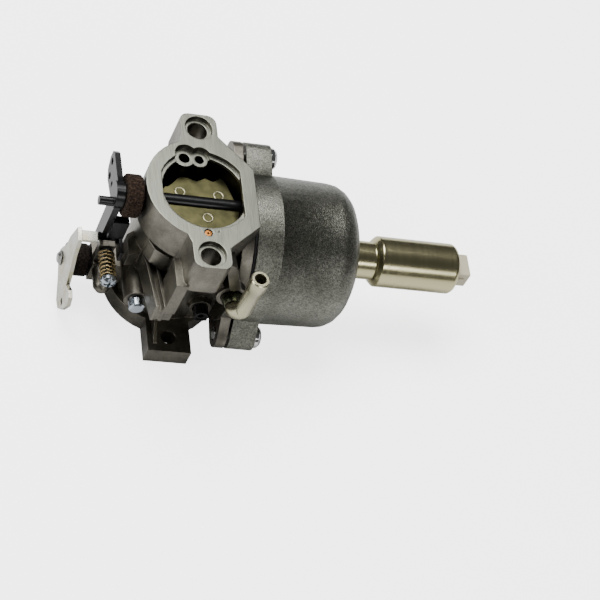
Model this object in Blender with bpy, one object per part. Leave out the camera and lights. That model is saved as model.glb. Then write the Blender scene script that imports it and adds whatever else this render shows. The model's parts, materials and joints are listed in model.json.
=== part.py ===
"""Float-bowl carburettor for a small petrol engine, as separate pieces in one frame.

It stands on its air inlet face. The origin is the centre of the main bore on that face, +Z runs
along the bore to the engine flange, +X points to the float bowl and +Y to one mounting ear.
"""

import math

import bmesh
import bpy
from mathutils import Matrix, Vector

MM = 0.001

# Fits between pieces
SEAT_GAP = 0.3 * MM  # between pieces that rest on each other
RUNNING_GAP = 0.1 * MM  # round a shaft that turns in its hole
BITE = 0.6 * MM  # how far shapes of one casting run into each other
ROUND_STEPS = 28

# Body casting
BODY_LENGTH = 64 * MM
BORE_RADIUS = 16 * MM
BARREL_WALL = 3.8 * MM
VENTURI_RADIUS = 12.5 * MM
VENTURI_START = 30 * MM
VENTURI_END = 36 * MM
CONE_LENGTH = 13 * MM
DIFFUSER_LENGTH = 8 * MM

# Engine flange
FLANGE_DEPTH = 15.5 * MM
FLANGE_RADIUS = 22.5 * MM
FLANGE_FLAT_X = 19.7 * MM
EAR_SPACING = 56.8 * MM
EAR_HALF_WIDTH = 7.2 * MM
EAR_OVERHANG = 6.4 * MM
EAR_CORNER = 3.6 * MM
EAR_HOLE_RADIUS = 3.85 * MM
EAR_COUNTERBORE_RADIUS = 5.35 * MM
EAR_COUNTERBORE_DEPTH = 2 * MM
POCKET_RADIUS = 17.5 * MM
POCKET_LEFT_X = -16.4 * MM
POCKET_RIGHT_X = 14.3 * MM
POCKET_DEPTH = 2.7 * MM
LIP_THICKNESS = 1.5 * MM

# Twin bosses of the idle passages in the flange pocket
IDLE_BOSS_X = (-6.0 * MM, -0.2 * MM)
IDLE_BOSS_RADIUS = (3.8 * MM, 3.3 * MM)
IDLE_HOLE_RADIUS = (2.1 * MM, 1.8 * MM)
IDLE_BOSS_Y = 15.5 * MM
IDLE_HOLE_DEPTH = 9 * MM
IDLE_PORT_RADIUS = 1.3 * MM
IDLE_PORT_X = -0.7 * MM
IDLE_PORT_WALL = 1.8 * MM  # between the pocket's edge and the port's centre
SIDE_BOSS_RADIUS = 2.1 * MM
SIDE_BOSS_END = (9.2 * MM, -27 * MM, 42 * MM)

# Air inlet flange
INLET_THICKNESS = 7.6 * MM
INLET_RADIUS = 22.3 * MM
INLET_EAR_HALF_WIDTH = 8.5 * MM
INLET_THREAD_RADIUS = 2.9 * MM

# Float bowl and the deck it bolts to
BOWL_AXIS_Z = 30.7 * MM
DECK_RADIUS = 28.5 * MM
DECK_THICKNESS = 4.6 * MM
SEAM_X = 20.4 * MM
GASKET_THICKNESS = 0.8 * MM
GASKET_WIDTH = 2.2 * MM
BOWL_FLANGE_DEPTH = 10.2 * MM
BOWL_FLANGE_RADIUS = 29.0 * MM
BOWL_RADIUS = 27.9 * MM
BOWL_DRAFT = 0.6 * MM  # how much wider the shell is at its rim
BOWL_WALL = 1.8 * MM
BOWL_DEPTH = 43.5 * MM
BOWL_CORNER = 9.5 * MM
LUG_CENTRES = {1: (28.6 * MM, 19.4 * MM), -1: (-27.7 * MM, -18.6 * MM)}  # from the bowl's axis
LUG_RADIUS = 5.4 * MM
BOWL_SCREW_RADIUS = 2.3 * MM
BOWL_SCREW_HEAD_RADIUS = 4.4 * MM
BOWL_SCREW_HEAD_HEIGHT = 3.2 * MM

# Main jet column, fuel and idle passages
COLUMN_RADIUS = 6.4 * MM
COLUMN_END_X = 46 * MM
COLUMN_BORE_RADIUS = 2.6 * MM
NOZZLE_RADIUS = 2.3 * MM
NOZZLE_BORE_RADIUS = 1.2 * MM
NOZZLE_TIP_X = 9.4 * MM
JET_RADIUS = 2.3 * MM
JET_BORE_RADIUS = 0.7 * MM
JET_LENGTH = 6 * MM
PILOT_JET_Y = 13.5 * MM
PILOT_JET_RADIUS = 1.9 * MM
PILOT_JET_LENGTH = 11 * MM

# Fuel shut-off solenoid
SOLENOID_NECK_RADIUS = 7.4 * MM
SOLENOID_NECK_LENGTH = 12.4 * MM
SOLENOID_RADIUS = 9.9 * MM
SOLENOID_LENGTH = 34.0 * MM
SOLENOID_BORE_RADIUS = 3.4 * MM
SOLENOID_WASHER_THICKNESS = 1.6 * MM
SOLENOID_WASHER_RADIUS = 9.2 * MM
PLUNGER_RADIUS = 2.9 * MM
PLUNGER_TRAVEL = 2.5 * MM
PLUNGER_NOSE_RADIUS = 1.3 * MM
CONNECTOR_LENGTH = 5.6 * MM
CONNECTOR_WIDTH = 10.0 * MM
CONNECTOR_HEIGHT = 7.6 * MM
CONNECTOR_WALL = 1.3 * MM

# Throttle
THROTTLE_DEPTH = 8.6 * MM
THROTTLE_SHAFT_RADIUS = 2.5 * MM
THROTTLE_PLATE_THICKNESS = 1.1 * MM
PLATE_CLEARANCE = 0.4 * MM
THROTTLE_PLATE_EDGE = (
    (-15.6 * MM, 0.5 * MM),
    (-12.7 * MM, 5.6 * MM),
    (-5.3 * MM, 11.1 * MM),
    (0.1 * MM, 9.7 * MM),
    (3.2 * MM, 11.4 * MM),
    (6.3 * MM, 10.2 * MM),
    (9.6 * MM, 12.2 * MM),
    (15.6 * MM, 0.5 * MM),
)
THROTTLE_FOAM_RADIUS = 8 * MM
THROTTLE_FOAM_LENGTH = 5.9 * MM
THROTTLE_LEVER_THICKNESS = 2.2 * MM
THROTTLE_LEVER_REACH = 18.5 * MM
THROTTLE_PEG_RADIUS = 1.75 * MM
THROTTLE_PEG_LENGTH = 6.2 * MM
STOP_ARM_DROP = 27.5 * MM

# Choke
CHOKE_HEIGHT = 12.5 * MM
CHOKE_SHAFT_RADIUS = 2.2 * MM
CHOKE_PLATE_THICKNESS = 1.0 * MM
CHOKE_PLATE_TRIM = 11.3 * MM
CHOKE_SCREW_X = 6.5 * MM
CHOKE_SCREW_RADIUS = 0.9 * MM
CHOKE_BOSS_RADIUS = 5.9 * MM
CHOKE_BOSS_END_X = -31.2 * MM
CHOKE_FOAM_RADIUS = 6.3 * MM
CHOKE_FOAM_LENGTH = 8.0 * MM
CHOKE_LEVER_THICKNESS = 1.5 * MM
CHOKE_TAB_LENGTH = 6.0 * MM

# Adjusting screws
IDLE_SCREW_X = -28 * MM
IDLE_SCREW_Z = 27 * MM
IDLE_SCREW_RADIUS = 1.9 * MM
IDLE_SCREW_HEAD_RADIUS = 3.1 * MM
IDLE_SCREW_HEAD_Y = -18 * MM
IDLE_LUG_Y = -2.6 * MM
IDLE_LUG_THICKNESS = 2.6 * MM
SPRING_WIRE_RADIUS = 0.42 * MM
SPRING_TURNS = 6
MIXTURE_SCREW_X = -16 * MM
MIXTURE_SCREW_Z = 21 * MM
MIXTURE_BOSS_RADIUS = 4.7 * MM
MIXTURE_BOSS_END_Y = -22 * MM
MIXTURE_SCREW_RADIUS = 1.6 * MM
MIXTURE_SPRING_RADIUS = 3.0 * MM
MIXTURE_SPRING_DEPTH = 6 * MM
MIXTURE_HEAD_RADIUS = 3.2 * MM

# Fuel inlet
INLET_PLUG_X = 15.4 * MM
INLET_PLUG_Z = 38.2 * MM
INLET_PLUG_RADIUS = 4.0 * MM
INLET_PLUG_END_Y = -32.2 * MM
FUEL_TUBE_RADIUS = 3.2 * MM
FUEL_TUBE_BORE_RADIUS = 2.3 * MM
FUEL_TUBE_SPIGOT_RADIUS = 2.6 * MM
FUEL_TUBE_BEAD_RADIUS = 3.6 * MM
FUEL_TUBE_BEAD_LENGTH = 6.5 * MM
FUEL_TUBE_Y = -36.2 * MM
FUEL_TUBE_TOP_Z = 62.2 * MM
FUEL_TUBE_BEND = 3.6 * MM
FUEL_TUBE_SIDE = 2.5 * MM  # how far the tube stands beside its plug, towards the bowl
VENT_X = 10 * MM
VENT_Z = 18 * MM
VENT_RADIUS = 2.8 * MM
VENT_END_Y = -25 * MM

# Float and needle
FLOAT_RADIUS = 23.4 * MM
FLOAT_HOLE_RADIUS = 10.4 * MM
FLOAT_START_X = 30.4 * MM
FLOAT_THICKNESS = 13 * MM
FLOAT_PIN_X = 25.6 * MM
FLOAT_PIN_Y = -18.5 * MM
FLOAT_PIN_RADIUS = 1.0 * MM
FLOAT_PIN_LENGTH = 13 * MM
NEEDLE_Y = -12.8 * MM
NEEDLE_RADIUS = 1.3 * MM
NEEDLE_LENGTH = 6.5 * MM
NEEDLE_SEAT_RADIUS = 2.8 * MM

# Places that follow from the sizes above
FLANGE_Z = BODY_LENGTH
THROTTLE_Z = FLANGE_Z - THROTTLE_DEPTH
EAR_Y = EAR_SPACING / 2
EAR_END_Y = EAR_Y + EAR_OVERHANG
BARREL_RADIUS = BORE_RADIUS + BARREL_WALL
FLANGE_BACK_Z = FLANGE_Z - FLANGE_DEPTH
BOWL_SEAM_X = SEAM_X + GASKET_THICKNESS + SEAT_GAP
BOWL_END_X = BOWL_SEAM_X + BOWL_DEPTH
THROTTLE_FOAM_X = -(FLANGE_RADIUS + SEAT_GAP)
THROTTLE_LEVER_X = THROTTLE_FOAM_X - THROTTLE_FOAM_LENGTH - SEAT_GAP
CHOKE_FOAM_X = CHOKE_BOSS_END_X - SEAT_GAP
CHOKE_LEVER_X = CHOKE_FOAM_X - CHOKE_FOAM_LENGTH - SEAT_GAP
IDLE_PORT_TOP = Vector((IDLE_PORT_X, -(POCKET_RADIUS + IDLE_PORT_WALL), FLANGE_Z))
FLOAT_PIN_POINT = Vector((FLOAT_PIN_X, FLOAT_PIN_Y, BOWL_AXIS_Z))

X_AXIS = Vector((1, 0, 0))
Y_AXIS = Vector((0, 1, 0))
Z_AXIS = Vector((0, 0, 1))


def clear_scene():
    for thing in list(bpy.data.objects):
        bpy.data.objects.remove(thing, do_unlink=True)


def finish_material(name, colour, roughness, metallic):
    made = bpy.data.materials.new(name)
    made.use_nodes = True
    shader = made.node_tree.nodes["Principled BSDF"]
    shader.inputs["Base Color"].default_value = (*colour, 1)
    shader.inputs["Roughness"].default_value = roughness
    shader.inputs["Metallic"].default_value = metallic
    return made


CAST = ((0.50, 0.48, 0.45), 0.45, 0.9)
BOWL_CAST = ((0.36, 0.36, 0.36), 0.5, 0.9)
ZINC = ((0.72, 0.74, 0.76), 0.25, 1.0)
YELLOW_ZINC = ((0.70, 0.66, 0.48), 0.25, 1.0)
BRASS = ((0.78, 0.58, 0.25), 0.3, 1.0)
STEEL = ((0.55, 0.56, 0.57), 0.35, 1.0)
BLACK_PLASTIC = ((0.02, 0.02, 0.022), 0.35, 0.0)
FOAM = ((0.035, 0.028, 0.022), 0.95, 0.0)
RUBBER = ((0.03, 0.03, 0.03), 0.7, 0.0)
IVORY = ((0.85, 0.83, 0.76), 0.4, 0.0)
OLIVE = ((0.10, 0.11, 0.07), 0.3, 0.8)


def object_from(name, mesh_data, finish=None, pivot=None):
    """Puts a bmesh in the scene, with its origin at pivot, as a piece or, with no finish, as a helper."""
    bmesh.ops.recalc_face_normals(mesh_data, faces=mesh_data.faces)
    if pivot is not None:
        bmesh.ops.translate(mesh_data, vec=-pivot, verts=mesh_data.verts)
    mesh = bpy.data.meshes.new(name)
    mesh_data.to_mesh(mesh)
    mesh_data.free()
    made = bpy.data.objects.new(name, mesh)
    bpy.context.scene.collection.objects.link(made)
    if pivot is not None:
        made.location = pivot
    if finish is None:
        made.hide_render = True
        made.display_type = "WIRE"
    else:
        mesh.materials.append(finish_material(name, *finish))
        mesh.shade_smooth()
        mesh.set_sharp_from_angle(angle=math.radians(35))
    return made


def combine(target, others, operation):
    """Adds or cuts each of the other shapes, as one exact Boolean each."""
    for other in others:
        step = target.modifiers.new(f"{operation.lower()} {other.name}", "BOOLEAN")
        step.operation = operation
        step.solver = "EXACT"
        step.object = other
    return target


def add(target, *others):
    return combine(target, others, "UNION")


def cut(target, *others):
    return combine(target, others, "DIFFERENCE")


def facing(axis, origin=(0, 0, 0)):
    """A placement whose local +Z points along axis, from origin."""
    turn = Vector(axis).to_track_quat("Z", "Y").to_matrix().to_4x4()
    return Matrix.Translation(Vector(origin)) @ turn


def ring_of(mesh_data, radius, height, steps, place):
    turn = 2 * math.pi / steps
    points = [
        Vector((radius * math.cos(turn * i), radius * math.sin(turn * i), height))
        for i in range(steps)
    ]
    return [mesh_data.verts.new(place @ point) for point in points]


def bridge(mesh_data, lower, upper):
    count = len(lower)
    for i in range(count):
        j = (i + 1) % count
        mesh_data.faces.new((lower[i], lower[j], upper[j], upper[i]))


def turned(name, profile, axis, origin, finish=None, steps=ROUND_STEPS, pivot=None):
    """A solid of revolution: profile lists (distance along axis, radius), with flat ends."""
    mesh_data = bmesh.new()
    place = facing(axis, origin)
    rings = [ring_of(mesh_data, radius, along, steps, place) for along, radius in profile]
    for lower, upper in zip(rings, rings[1:]):
        bridge(mesh_data, lower, upper)
    mesh_data.faces.new(rings[0])
    mesh_data.faces.new(rings[-1])
    return object_from(name, mesh_data, finish, pivot)


def hollow_turned(name, profile, axis, origin, finish=None, steps=ROUND_STEPS, pivot=None):
    """A ring of revolution: profile is a closed loop of (distance along axis, radius)."""
    mesh_data = bmesh.new()
    place = facing(axis, origin)
    rings = [ring_of(mesh_data, radius, along, steps, place) for along, radius in profile]
    for lower, upper in zip(rings, rings[1:] + rings[:1]):
        bridge(mesh_data, lower, upper)
    return object_from(name, mesh_data, finish, pivot)


def rod(name, start, end, radius, finish=None, steps=ROUND_STEPS, pivot=None):
    span = Vector(end) - Vector(start)
    profile = ((0, radius), (span.length, radius))
    return turned(name, profile, span, start, finish, steps, pivot)


def box(name, low, high, finish=None, pivot=None):
    mesh_data = bmesh.new()
    bmesh.ops.create_cube(mesh_data, size=1)
    for vertex in mesh_data.verts:
        vertex.co = Vector(
            high[i] if vertex.co[i] > 0 else low[i] for i in range(3)
        )
    return object_from(name, mesh_data, finish, pivot)


def prism(name, outline, normal_axis, start, end, finish=None, pivot=None):
    """An outline pushed from start to end along X, Y or Z; it lists the other two coordinates."""
    def corner(point, along):
        first, second = point
        return {
            "X": (along, first, second),
            "Y": (first, along, second),
            "Z": (first, second, along),
        }[normal_axis]

    mesh_data = bmesh.new()
    near = [mesh_data.verts.new(corner(point, start)) for point in outline]
    far = [mesh_data.verts.new(corner(point, end)) for point in outline]
    bridge(mesh_data, near, far)
    mesh_data.faces.new(near)
    mesh_data.faces.new(far)
    return object_from(name, mesh_data, finish, pivot)


def arc(centre, radius, start_deg, end_deg, steps):
    """Points on a circle, from one angle to another, both included."""
    span = (end_deg - start_deg) / steps
    angles = [math.radians(start_deg + span * i) for i in range(steps + 1)]
    return [
        (centre[0] + radius * math.cos(a), centre[1] + radius * math.sin(a)) for a in angles
    ]


def swept_tube(mesh_data, centres, radii, steps):
    """Rings of points round a smooth line, carried along it without twist, each with its radius."""
    rings = []
    side = None
    for i, (centre, radius) in enumerate(zip(centres, radii)):
        ahead = centres[min(i + 1, len(centres) - 1)] - centres[max(i - 1, 0)]
        tangent = ahead.normalized()
        if side is None:
            side = tangent.orthogonal().normalized()
        side = (side - tangent * side.dot(tangent)).normalized()
        other = tangent.cross(side)
        ring = []
        for k in range(steps):
            angle = 2 * math.pi * k / steps
            offset = side * math.cos(angle) + other * math.sin(angle)
            ring.append(mesh_data.verts.new(centre + offset * radius))
        rings.append(ring)
    for lower, upper in zip(rings, rings[1:]):
        bridge(mesh_data, lower, upper)
    return rings


def coil_spring(name, start, end, radius, turns, finish, steps_per_turn=10, wire_steps=6):
    """A wire wound round the line from start to end."""
    place = facing(Vector(end) - Vector(start), start)
    length = (Vector(end) - Vector(start)).length - 2 * SPRING_WIRE_RADIUS
    count = turns * steps_per_turn
    centres = []
    for i in range(count + 1):
        angle = 2 * math.pi * i / steps_per_turn
        rise = SPRING_WIRE_RADIUS + length * i / count
        centres.append(place @ Vector((radius * math.cos(angle), radius * math.sin(angle), rise)))
    mesh_data = bmesh.new()
    rings = swept_tube(mesh_data, centres, [SPRING_WIRE_RADIUS] * len(centres), wire_steps)
    mesh_data.faces.new(rings[0])
    mesh_data.faces.new(rings[-1])
    return object_from(name, mesh_data, finish)


def cross_recess(name, axis, centre, reach, width, depth):
    """Two crossed bars, sunk into a screw head from its top centre."""
    place = facing(axis, centre)
    bars = []
    for turn in (0, 90):
        mesh_data = bmesh.new()
        bmesh.ops.create_cube(mesh_data, size=1)
        spin = Matrix.Rotation(math.radians(turn), 4, "Z")
        scale = Matrix.Diagonal((2 * reach, width, 2 * depth, 1))
        bmesh.ops.transform(mesh_data, matrix=place @ spin @ scale, verts=mesh_data.verts)
        bars.append(object_from(f"{name} {turn}", mesh_data))
    return bars


# --- Body casting -------------------------------------------------------------------------------


def flange_outline():
    """The engine flange: a round left side, a flat right side, and an ear at each end."""
    lower_flat_y = -14.2 * MM
    upper_flat_y = 11.6 * MM
    neck_out = 2.6 * MM
    neck_y = EAR_Y - 6.0 * MM
    shoulder = math.degrees(math.acos(-(EAR_HALF_WIDTH + 1.4 * MM) / FLANGE_RADIUS))
    ear_corner_x = EAR_HALF_WIDTH - EAR_CORNER
    ear_corner_y = EAR_END_Y - EAR_CORNER
    points = [(FLANGE_FLAT_X, lower_flat_y), (FLANGE_FLAT_X, upper_flat_y)]
    points += [(EAR_HALF_WIDTH + neck_out, neck_y), (EAR_HALF_WIDTH, neck_y + 2.8 * MM)]
    points += arc((ear_corner_x, ear_corner_y), EAR_CORNER, 0, 90, 4)
    points += arc((-ear_corner_x, ear_corner_y), EAR_CORNER, 90, 180, 4)
    points += [(-EAR_HALF_WIDTH, neck_y + 2.2 * MM)]
    points += arc((0, 0), FLANGE_RADIUS, shoulder, 360 - shoulder, 16)
    points += [(-EAR_HALF_WIDTH, -neck_y - 2.2 * MM)]
    points += arc((-ear_corner_x, -ear_corner_y), EAR_CORNER, 180, 270, 4)
    points += arc((ear_corner_x, -ear_corner_y), EAR_CORNER, 270, 360, 4)
    points += [(EAR_HALF_WIDTH, -neck_y - 2.8 * MM)]
    return points


def inlet_outline():
    """The air inlet flange: a wide round rim, cut flat beside the bowl, with two blunt ears."""
    ear_join = math.degrees(math.acos(INLET_EAR_HALF_WIDTH / INLET_RADIUS))
    flat = math.degrees(math.acos(FLANGE_FLAT_X / INLET_RADIUS))
    points = arc((0, 0), INLET_RADIUS, flat, ear_join, 3)
    points += [(INLET_EAR_HALF_WIDTH, EAR_END_Y), (-INLET_EAR_HALF_WIDTH, EAR_END_Y)]
    points += arc((0, 0), INLET_RADIUS, 180 - ear_join, 180 + ear_join, 18)
    points += [(-INLET_EAR_HALF_WIDTH, -EAR_END_Y), (INLET_EAR_HALF_WIDTH, -EAR_END_Y)]
    points += arc((0, 0), INLET_RADIUS, 360 - ear_join, 360 - flat, 3)
    return points


def lug_outline(sign):
    """A screw lug that grows from the bowl's rim: sign is +1 for the upper one, -1 for the lower."""
    centre_y, centre_z = LUG_CENTRES[sign]
    outward = math.degrees(math.atan2(centre_z, centre_y))
    points = arc((centre_y, centre_z), LUG_RADIUS, outward - 75, outward + 75, 8)
    inner = DECK_RADIUS - 4 * MM
    spread = 24
    points += arc((0, 0), inner, outward + spread, outward - spread, 2)
    return [(y, z + BOWL_AXIS_Z) for y, z in points]


def lug_places():
    return [(y, BOWL_AXIS_Z + z) for y, z in LUG_CENTRES.values()]


def deck_shapes():
    """The round deck that carries the bowl, its lugs, the neck behind it and the jet column."""
    start = SEAM_X - DECK_THICKNESS
    centre = (0, 0, BOWL_AXIS_Z)
    deck = turned("deck", ((start, DECK_RADIUS), (SEAM_X, DECK_RADIUS)), X_AXIS, centre, steps=48)
    neck_y = BARREL_RADIUS - 1.5 * MM
    neck_low = (4 * MM, -neck_y, 6 * MM)
    neck_high = (start + BITE, neck_y, FLANGE_BACK_Z + BITE)
    neck = box("deck neck", neck_low, neck_high)
    column = rod(
        "jet column", (SEAM_X - 2 * MM, 0, BOWL_AXIS_Z), (COLUMN_END_X, 0, BOWL_AXIS_Z), COLUMN_RADIUS
    )
    lugs = [
        prism(f"deck lug {sign}", lug_outline(sign), "X", start + 0.7 * MM, SEAM_X - 0.02 * MM)
        for sign in (1, -1)
    ]
    return [deck, neck, column, *lugs]


def rib_shapes():
    """The ribs and webs between the two flanges on the side of the adjusting screws."""
    rib_top = 36 * MM
    rib_foot = 27 * MM
    rib_end = -(EAR_END_Y - 0.4 * MM)
    rib_thickness = 1.2 * MM
    shapes = []
    for number, (near_x, far_x) in enumerate(((-17 * MM, -13.4 * MM), (-13.4 * MM, -10.4 * MM))):
        outline = [
            (near_x, -11 * MM),
            (near_x + rib_thickness, -11 * MM),
            (near_x + rib_thickness + 1.2 * MM, -15 * MM),
            (far_x + rib_thickness, rib_end),
            (far_x, rib_end),
            (near_x + 1.2 * MM, -15 * MM),
        ]
        shapes.append(prism(f"rib {number}", outline, "Z", rib_foot, rib_top))
    web_low = (-13.2 * MM, rib_end + 0.3 * MM, rib_foot + 0.4 * MM)
    web_high = (-6 * MM, -9 * MM, rib_top - 3 * MM)
    shapes.append(box("rib web", web_low, web_high))
    leg_low = (-10 * MM, -(EAR_END_Y - 0.1 * MM), rib_foot + 5.5 * MM)
    leg_high = (-5.6 * MM, -22.5 * MM, FLANGE_BACK_Z + 2 * MM)
    shapes.append(box("ear leg", leg_low, leg_high))
    foot = [(-18 * MM, 13 * MM), (-18 * MM, 5 * MM), (-31.5 * MM, 5 * MM), (-31.5 * MM, 8 * MM)]
    shapes.append(prism("ear rib", foot, "X", -6.2 * MM, -4.8 * MM))
    strut = [
        (EAR_HALF_WIDTH - 1 * MM, FLANGE_Z - 4 * MM),
        (EAR_HALF_WIDTH + 3.4 * MM, FLANGE_Z - 5.5 * MM),
        (SEAM_X - 3.2 * MM, INLET_PLUG_Z + 6 * MM),
        (INLET_PLUG_X - 2.4 * MM, INLET_PLUG_Z + 5 * MM),
    ]
    shapes.append(prism("strut", strut, "Y", -29.5 * MM, -14 * MM))
    shapes += gusset_shapes()
    return shapes


def gusset_shapes():
    """Two flat gussets on the barrel's near side: one to the stop bracket, one under the flange."""
    low_gusset = [
        (-22.3 * MM, -3.2 * MM),
        (-22.3 * MM, -12.4 * MM),
        (-18.4 * MM, -11.6 * MM),
        (-14.2 * MM, -6.0 * MM),
        (-13.0 * MM, 0),
        (-15.7 * MM, 1.6 * MM),
    ]
    high_gusset = [
        (-17.2 * MM, -11.8 * MM),
        (-15.2 * MM, -15.5 * MM),
        (-10.2 * MM, -19.0 * MM),
        (-5.9 * MM, -18.0 * MM),
        (-7.0 * MM, -12.0 * MM),
        (-15.0 * MM, -8.0 * MM),
    ]
    return [
        prism("low gusset", low_gusset, "Z", 29 * MM, 36 * MM),
        prism("high gusset", high_gusset, "Z", 37 * MM, 45.5 * MM),
    ]


def boss_shapes():
    """The round bosses that hold the shafts, the screws and the fuel inlet."""
    choke_boss = rod(
        "choke boss", (CHOKE_BOSS_END_X, 0, CHOKE_HEIGHT), (-15 * MM, 0, CHOKE_HEIGHT), CHOKE_BOSS_RADIUS
    )
    mixture_boss = rod(
        "mixture boss",
        (MIXTURE_SCREW_X, MIXTURE_BOSS_END_Y, MIXTURE_SCREW_Z),
        (MIXTURE_SCREW_X, -4 * MM, MIXTURE_SCREW_Z),
        MIXTURE_BOSS_RADIUS,
    )
    inlet_boss = rod(
        "fuel inlet boss",
        (INLET_PLUG_X, -28.5 * MM, INLET_PLUG_Z),
        (INLET_PLUG_X, -12 * MM, INLET_PLUG_Z),
        INLET_PLUG_RADIUS + 1.9 * MM,
    )
    seam_side = box(
        "seam side", (SEAM_X, -40 * MM, 0), (SEAM_X + 30 * MM, 0, BODY_LENGTH)
    )
    cut(inlet_boss, seam_side)
    dome_boss = turned(
        "bracket boss",
        ((0, 3.4 * MM), (9 * MM, 3.4 * MM), (10.8 * MM, 2.4 * MM), (11.6 * MM, 1.0 * MM)),
        -Y_AXIS,
        (-27.4 * MM, -5 * MM, 16.5 * MM),
        steps=20,
    )
    side_x, side_y, side_z = SIDE_BOSS_END
    side_boss = rod(
        "side boss", SIDE_BOSS_END, (side_x, side_y + 15 * MM, side_z), SIDE_BOSS_RADIUS, steps=20
    )
    return [choke_boss, mixture_boss, inlet_boss, dome_boss, side_boss]


def bracket_shapes():
    """The lug that holds the idle speed screw, and the wall it stands on."""
    lug_back = IDLE_LUG_Y
    lug_front = IDLE_LUG_Y - IDLE_LUG_THICKNESS
    lug_half = 3.2 * MM
    lug_low = (IDLE_SCREW_X - lug_half, lug_front, CHOKE_HEIGHT)
    lug_high = (IDLE_SCREW_X + lug_half - 0.3 * MM, lug_back, IDLE_SCREW_Z + lug_half)
    lug = box("idle screw lug", lug_low, lug_high)
    wall_low = (IDLE_SCREW_X - lug_half, lug_front - 1.5 * MM, CHOKE_HEIGHT - 3 * MM)
    wall_high = (-BORE_RADIUS - 1 * MM, 4 * MM, CHOKE_HEIGHT + 7.5 * MM)
    wall = box("bracket wall", wall_low, wall_high)
    return [lug, wall]


def idle_boss_column(name, margin, bottom, top):
    """The two joined round columns that hold the idle passages."""
    left, right = (
        rod(
            f"{name} {number}",
            (x, IDLE_BOSS_Y, bottom),
            (x, IDLE_BOSS_Y, top),
            radius + margin,
            steps=20,
        )
        for number, (x, radius) in enumerate(zip(IDLE_BOSS_X, IDLE_BOSS_RADIUS))
    )
    return add(left, right)


def bore_cutter():
    """The main bore with its venturi; the idle columns stay standing in its throttle end."""
    past = 1 * MM
    profile = (
        (-past, BORE_RADIUS),
        (VENTURI_START - CONE_LENGTH, BORE_RADIUS),
        (VENTURI_START, VENTURI_RADIUS),
        (VENTURI_END, VENTURI_RADIUS),
        (VENTURI_END + DIFFUSER_LENGTH, BORE_RADIUS),
        (FLANGE_Z - LIP_THICKNESS, BORE_RADIUS),
    )
    bore = turned("bore", profile, Z_AXIS, (0, 0, 0), steps=48)
    column_top = FLANGE_Z - POCKET_DEPTH
    return cut(bore, idle_boss_column("idle column", 0, VENTURI_END, column_top))


def pocket_cutter():
    """The wide opening in the engine flange, flat at both sides, with room for the idle columns."""
    right = math.degrees(math.acos(POCKET_RIGHT_X / POCKET_RADIUS))
    left = math.degrees(math.acos(POCKET_LEFT_X / POCKET_RADIUS))
    outline = arc((0, 0), POCKET_RADIUS, right, left, 12)
    outline += arc((0, 0), POCKET_RADIUS, 360 - left, 360 - right, 12)
    lip = prism("flange opening", outline, "Z", FLANGE_Z - LIP_THICKNESS - 0.1 * MM, FLANGE_Z + 1 * MM)
    notch = box(
        "flange notch",
        (1.9 * MM, -POCKET_RADIUS - 1.3 * MM, FLANGE_Z - LIP_THICKNESS - 0.1 * MM),
        (3.6 * MM, -POCKET_RADIUS + 1.2 * MM, FLANGE_Z + 1 * MM),
    )
    return add(lip, notch)


def column_pocket_cutter():
    """The recess down to the top of the idle columns, in their own outline."""
    return idle_boss_column(
        "idle pocket", 0.5 * MM, FLANGE_Z - POCKET_DEPTH, FLANGE_Z + 1 * MM
    )


def ear_cutters():
    """The mounting holes through the engine ears, their counterbores and the inlet threads."""
    cutters = []
    for side in (1, -1):
        y = side * EAR_Y
        hole_profile = (
            (FLANGE_BACK_Z - 2 * MM, EAR_HOLE_RADIUS),
            (FLANGE_Z - EAR_COUNTERBORE_DEPTH, EAR_HOLE_RADIUS),
            (FLANGE_Z - EAR_COUNTERBORE_DEPTH, EAR_COUNTERBORE_RADIUS),
            (FLANGE_Z + 1 * MM, EAR_COUNTERBORE_RADIUS),
        )
        cutters.append(turned(f"ear hole {side}", hole_profile, Z_AXIS, (0, y, 0), steps=24))
        thread = rod(
            f"inlet thread {side}",
            (0, y, -1 * MM),
            (0, y, INLET_THICKNESS + 1 * MM),
            INLET_THREAD_RADIUS,
            steps=20,
        )
        cutters.append(thread)
    return cutters


def shaft_cutters():
    """The cross holes for the two shafts."""
    far_end = BORE_RADIUS + 3.2 * MM
    throttle = rod(
        "throttle shaft hole",
        (-FLANGE_RADIUS - 1 * MM, 0, THROTTLE_Z),
        (far_end, 0, THROTTLE_Z),
        THROTTLE_SHAFT_RADIUS + RUNNING_GAP,
    )
    choke = rod(
        "choke shaft hole",
        (CHOKE_BOSS_END_X - 1 * MM, 0, CHOKE_HEIGHT),
        (far_end, 0, CHOKE_HEIGHT),
        CHOKE_SHAFT_RADIUS + RUNNING_GAP,
    )
    return [throttle, choke]


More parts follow.
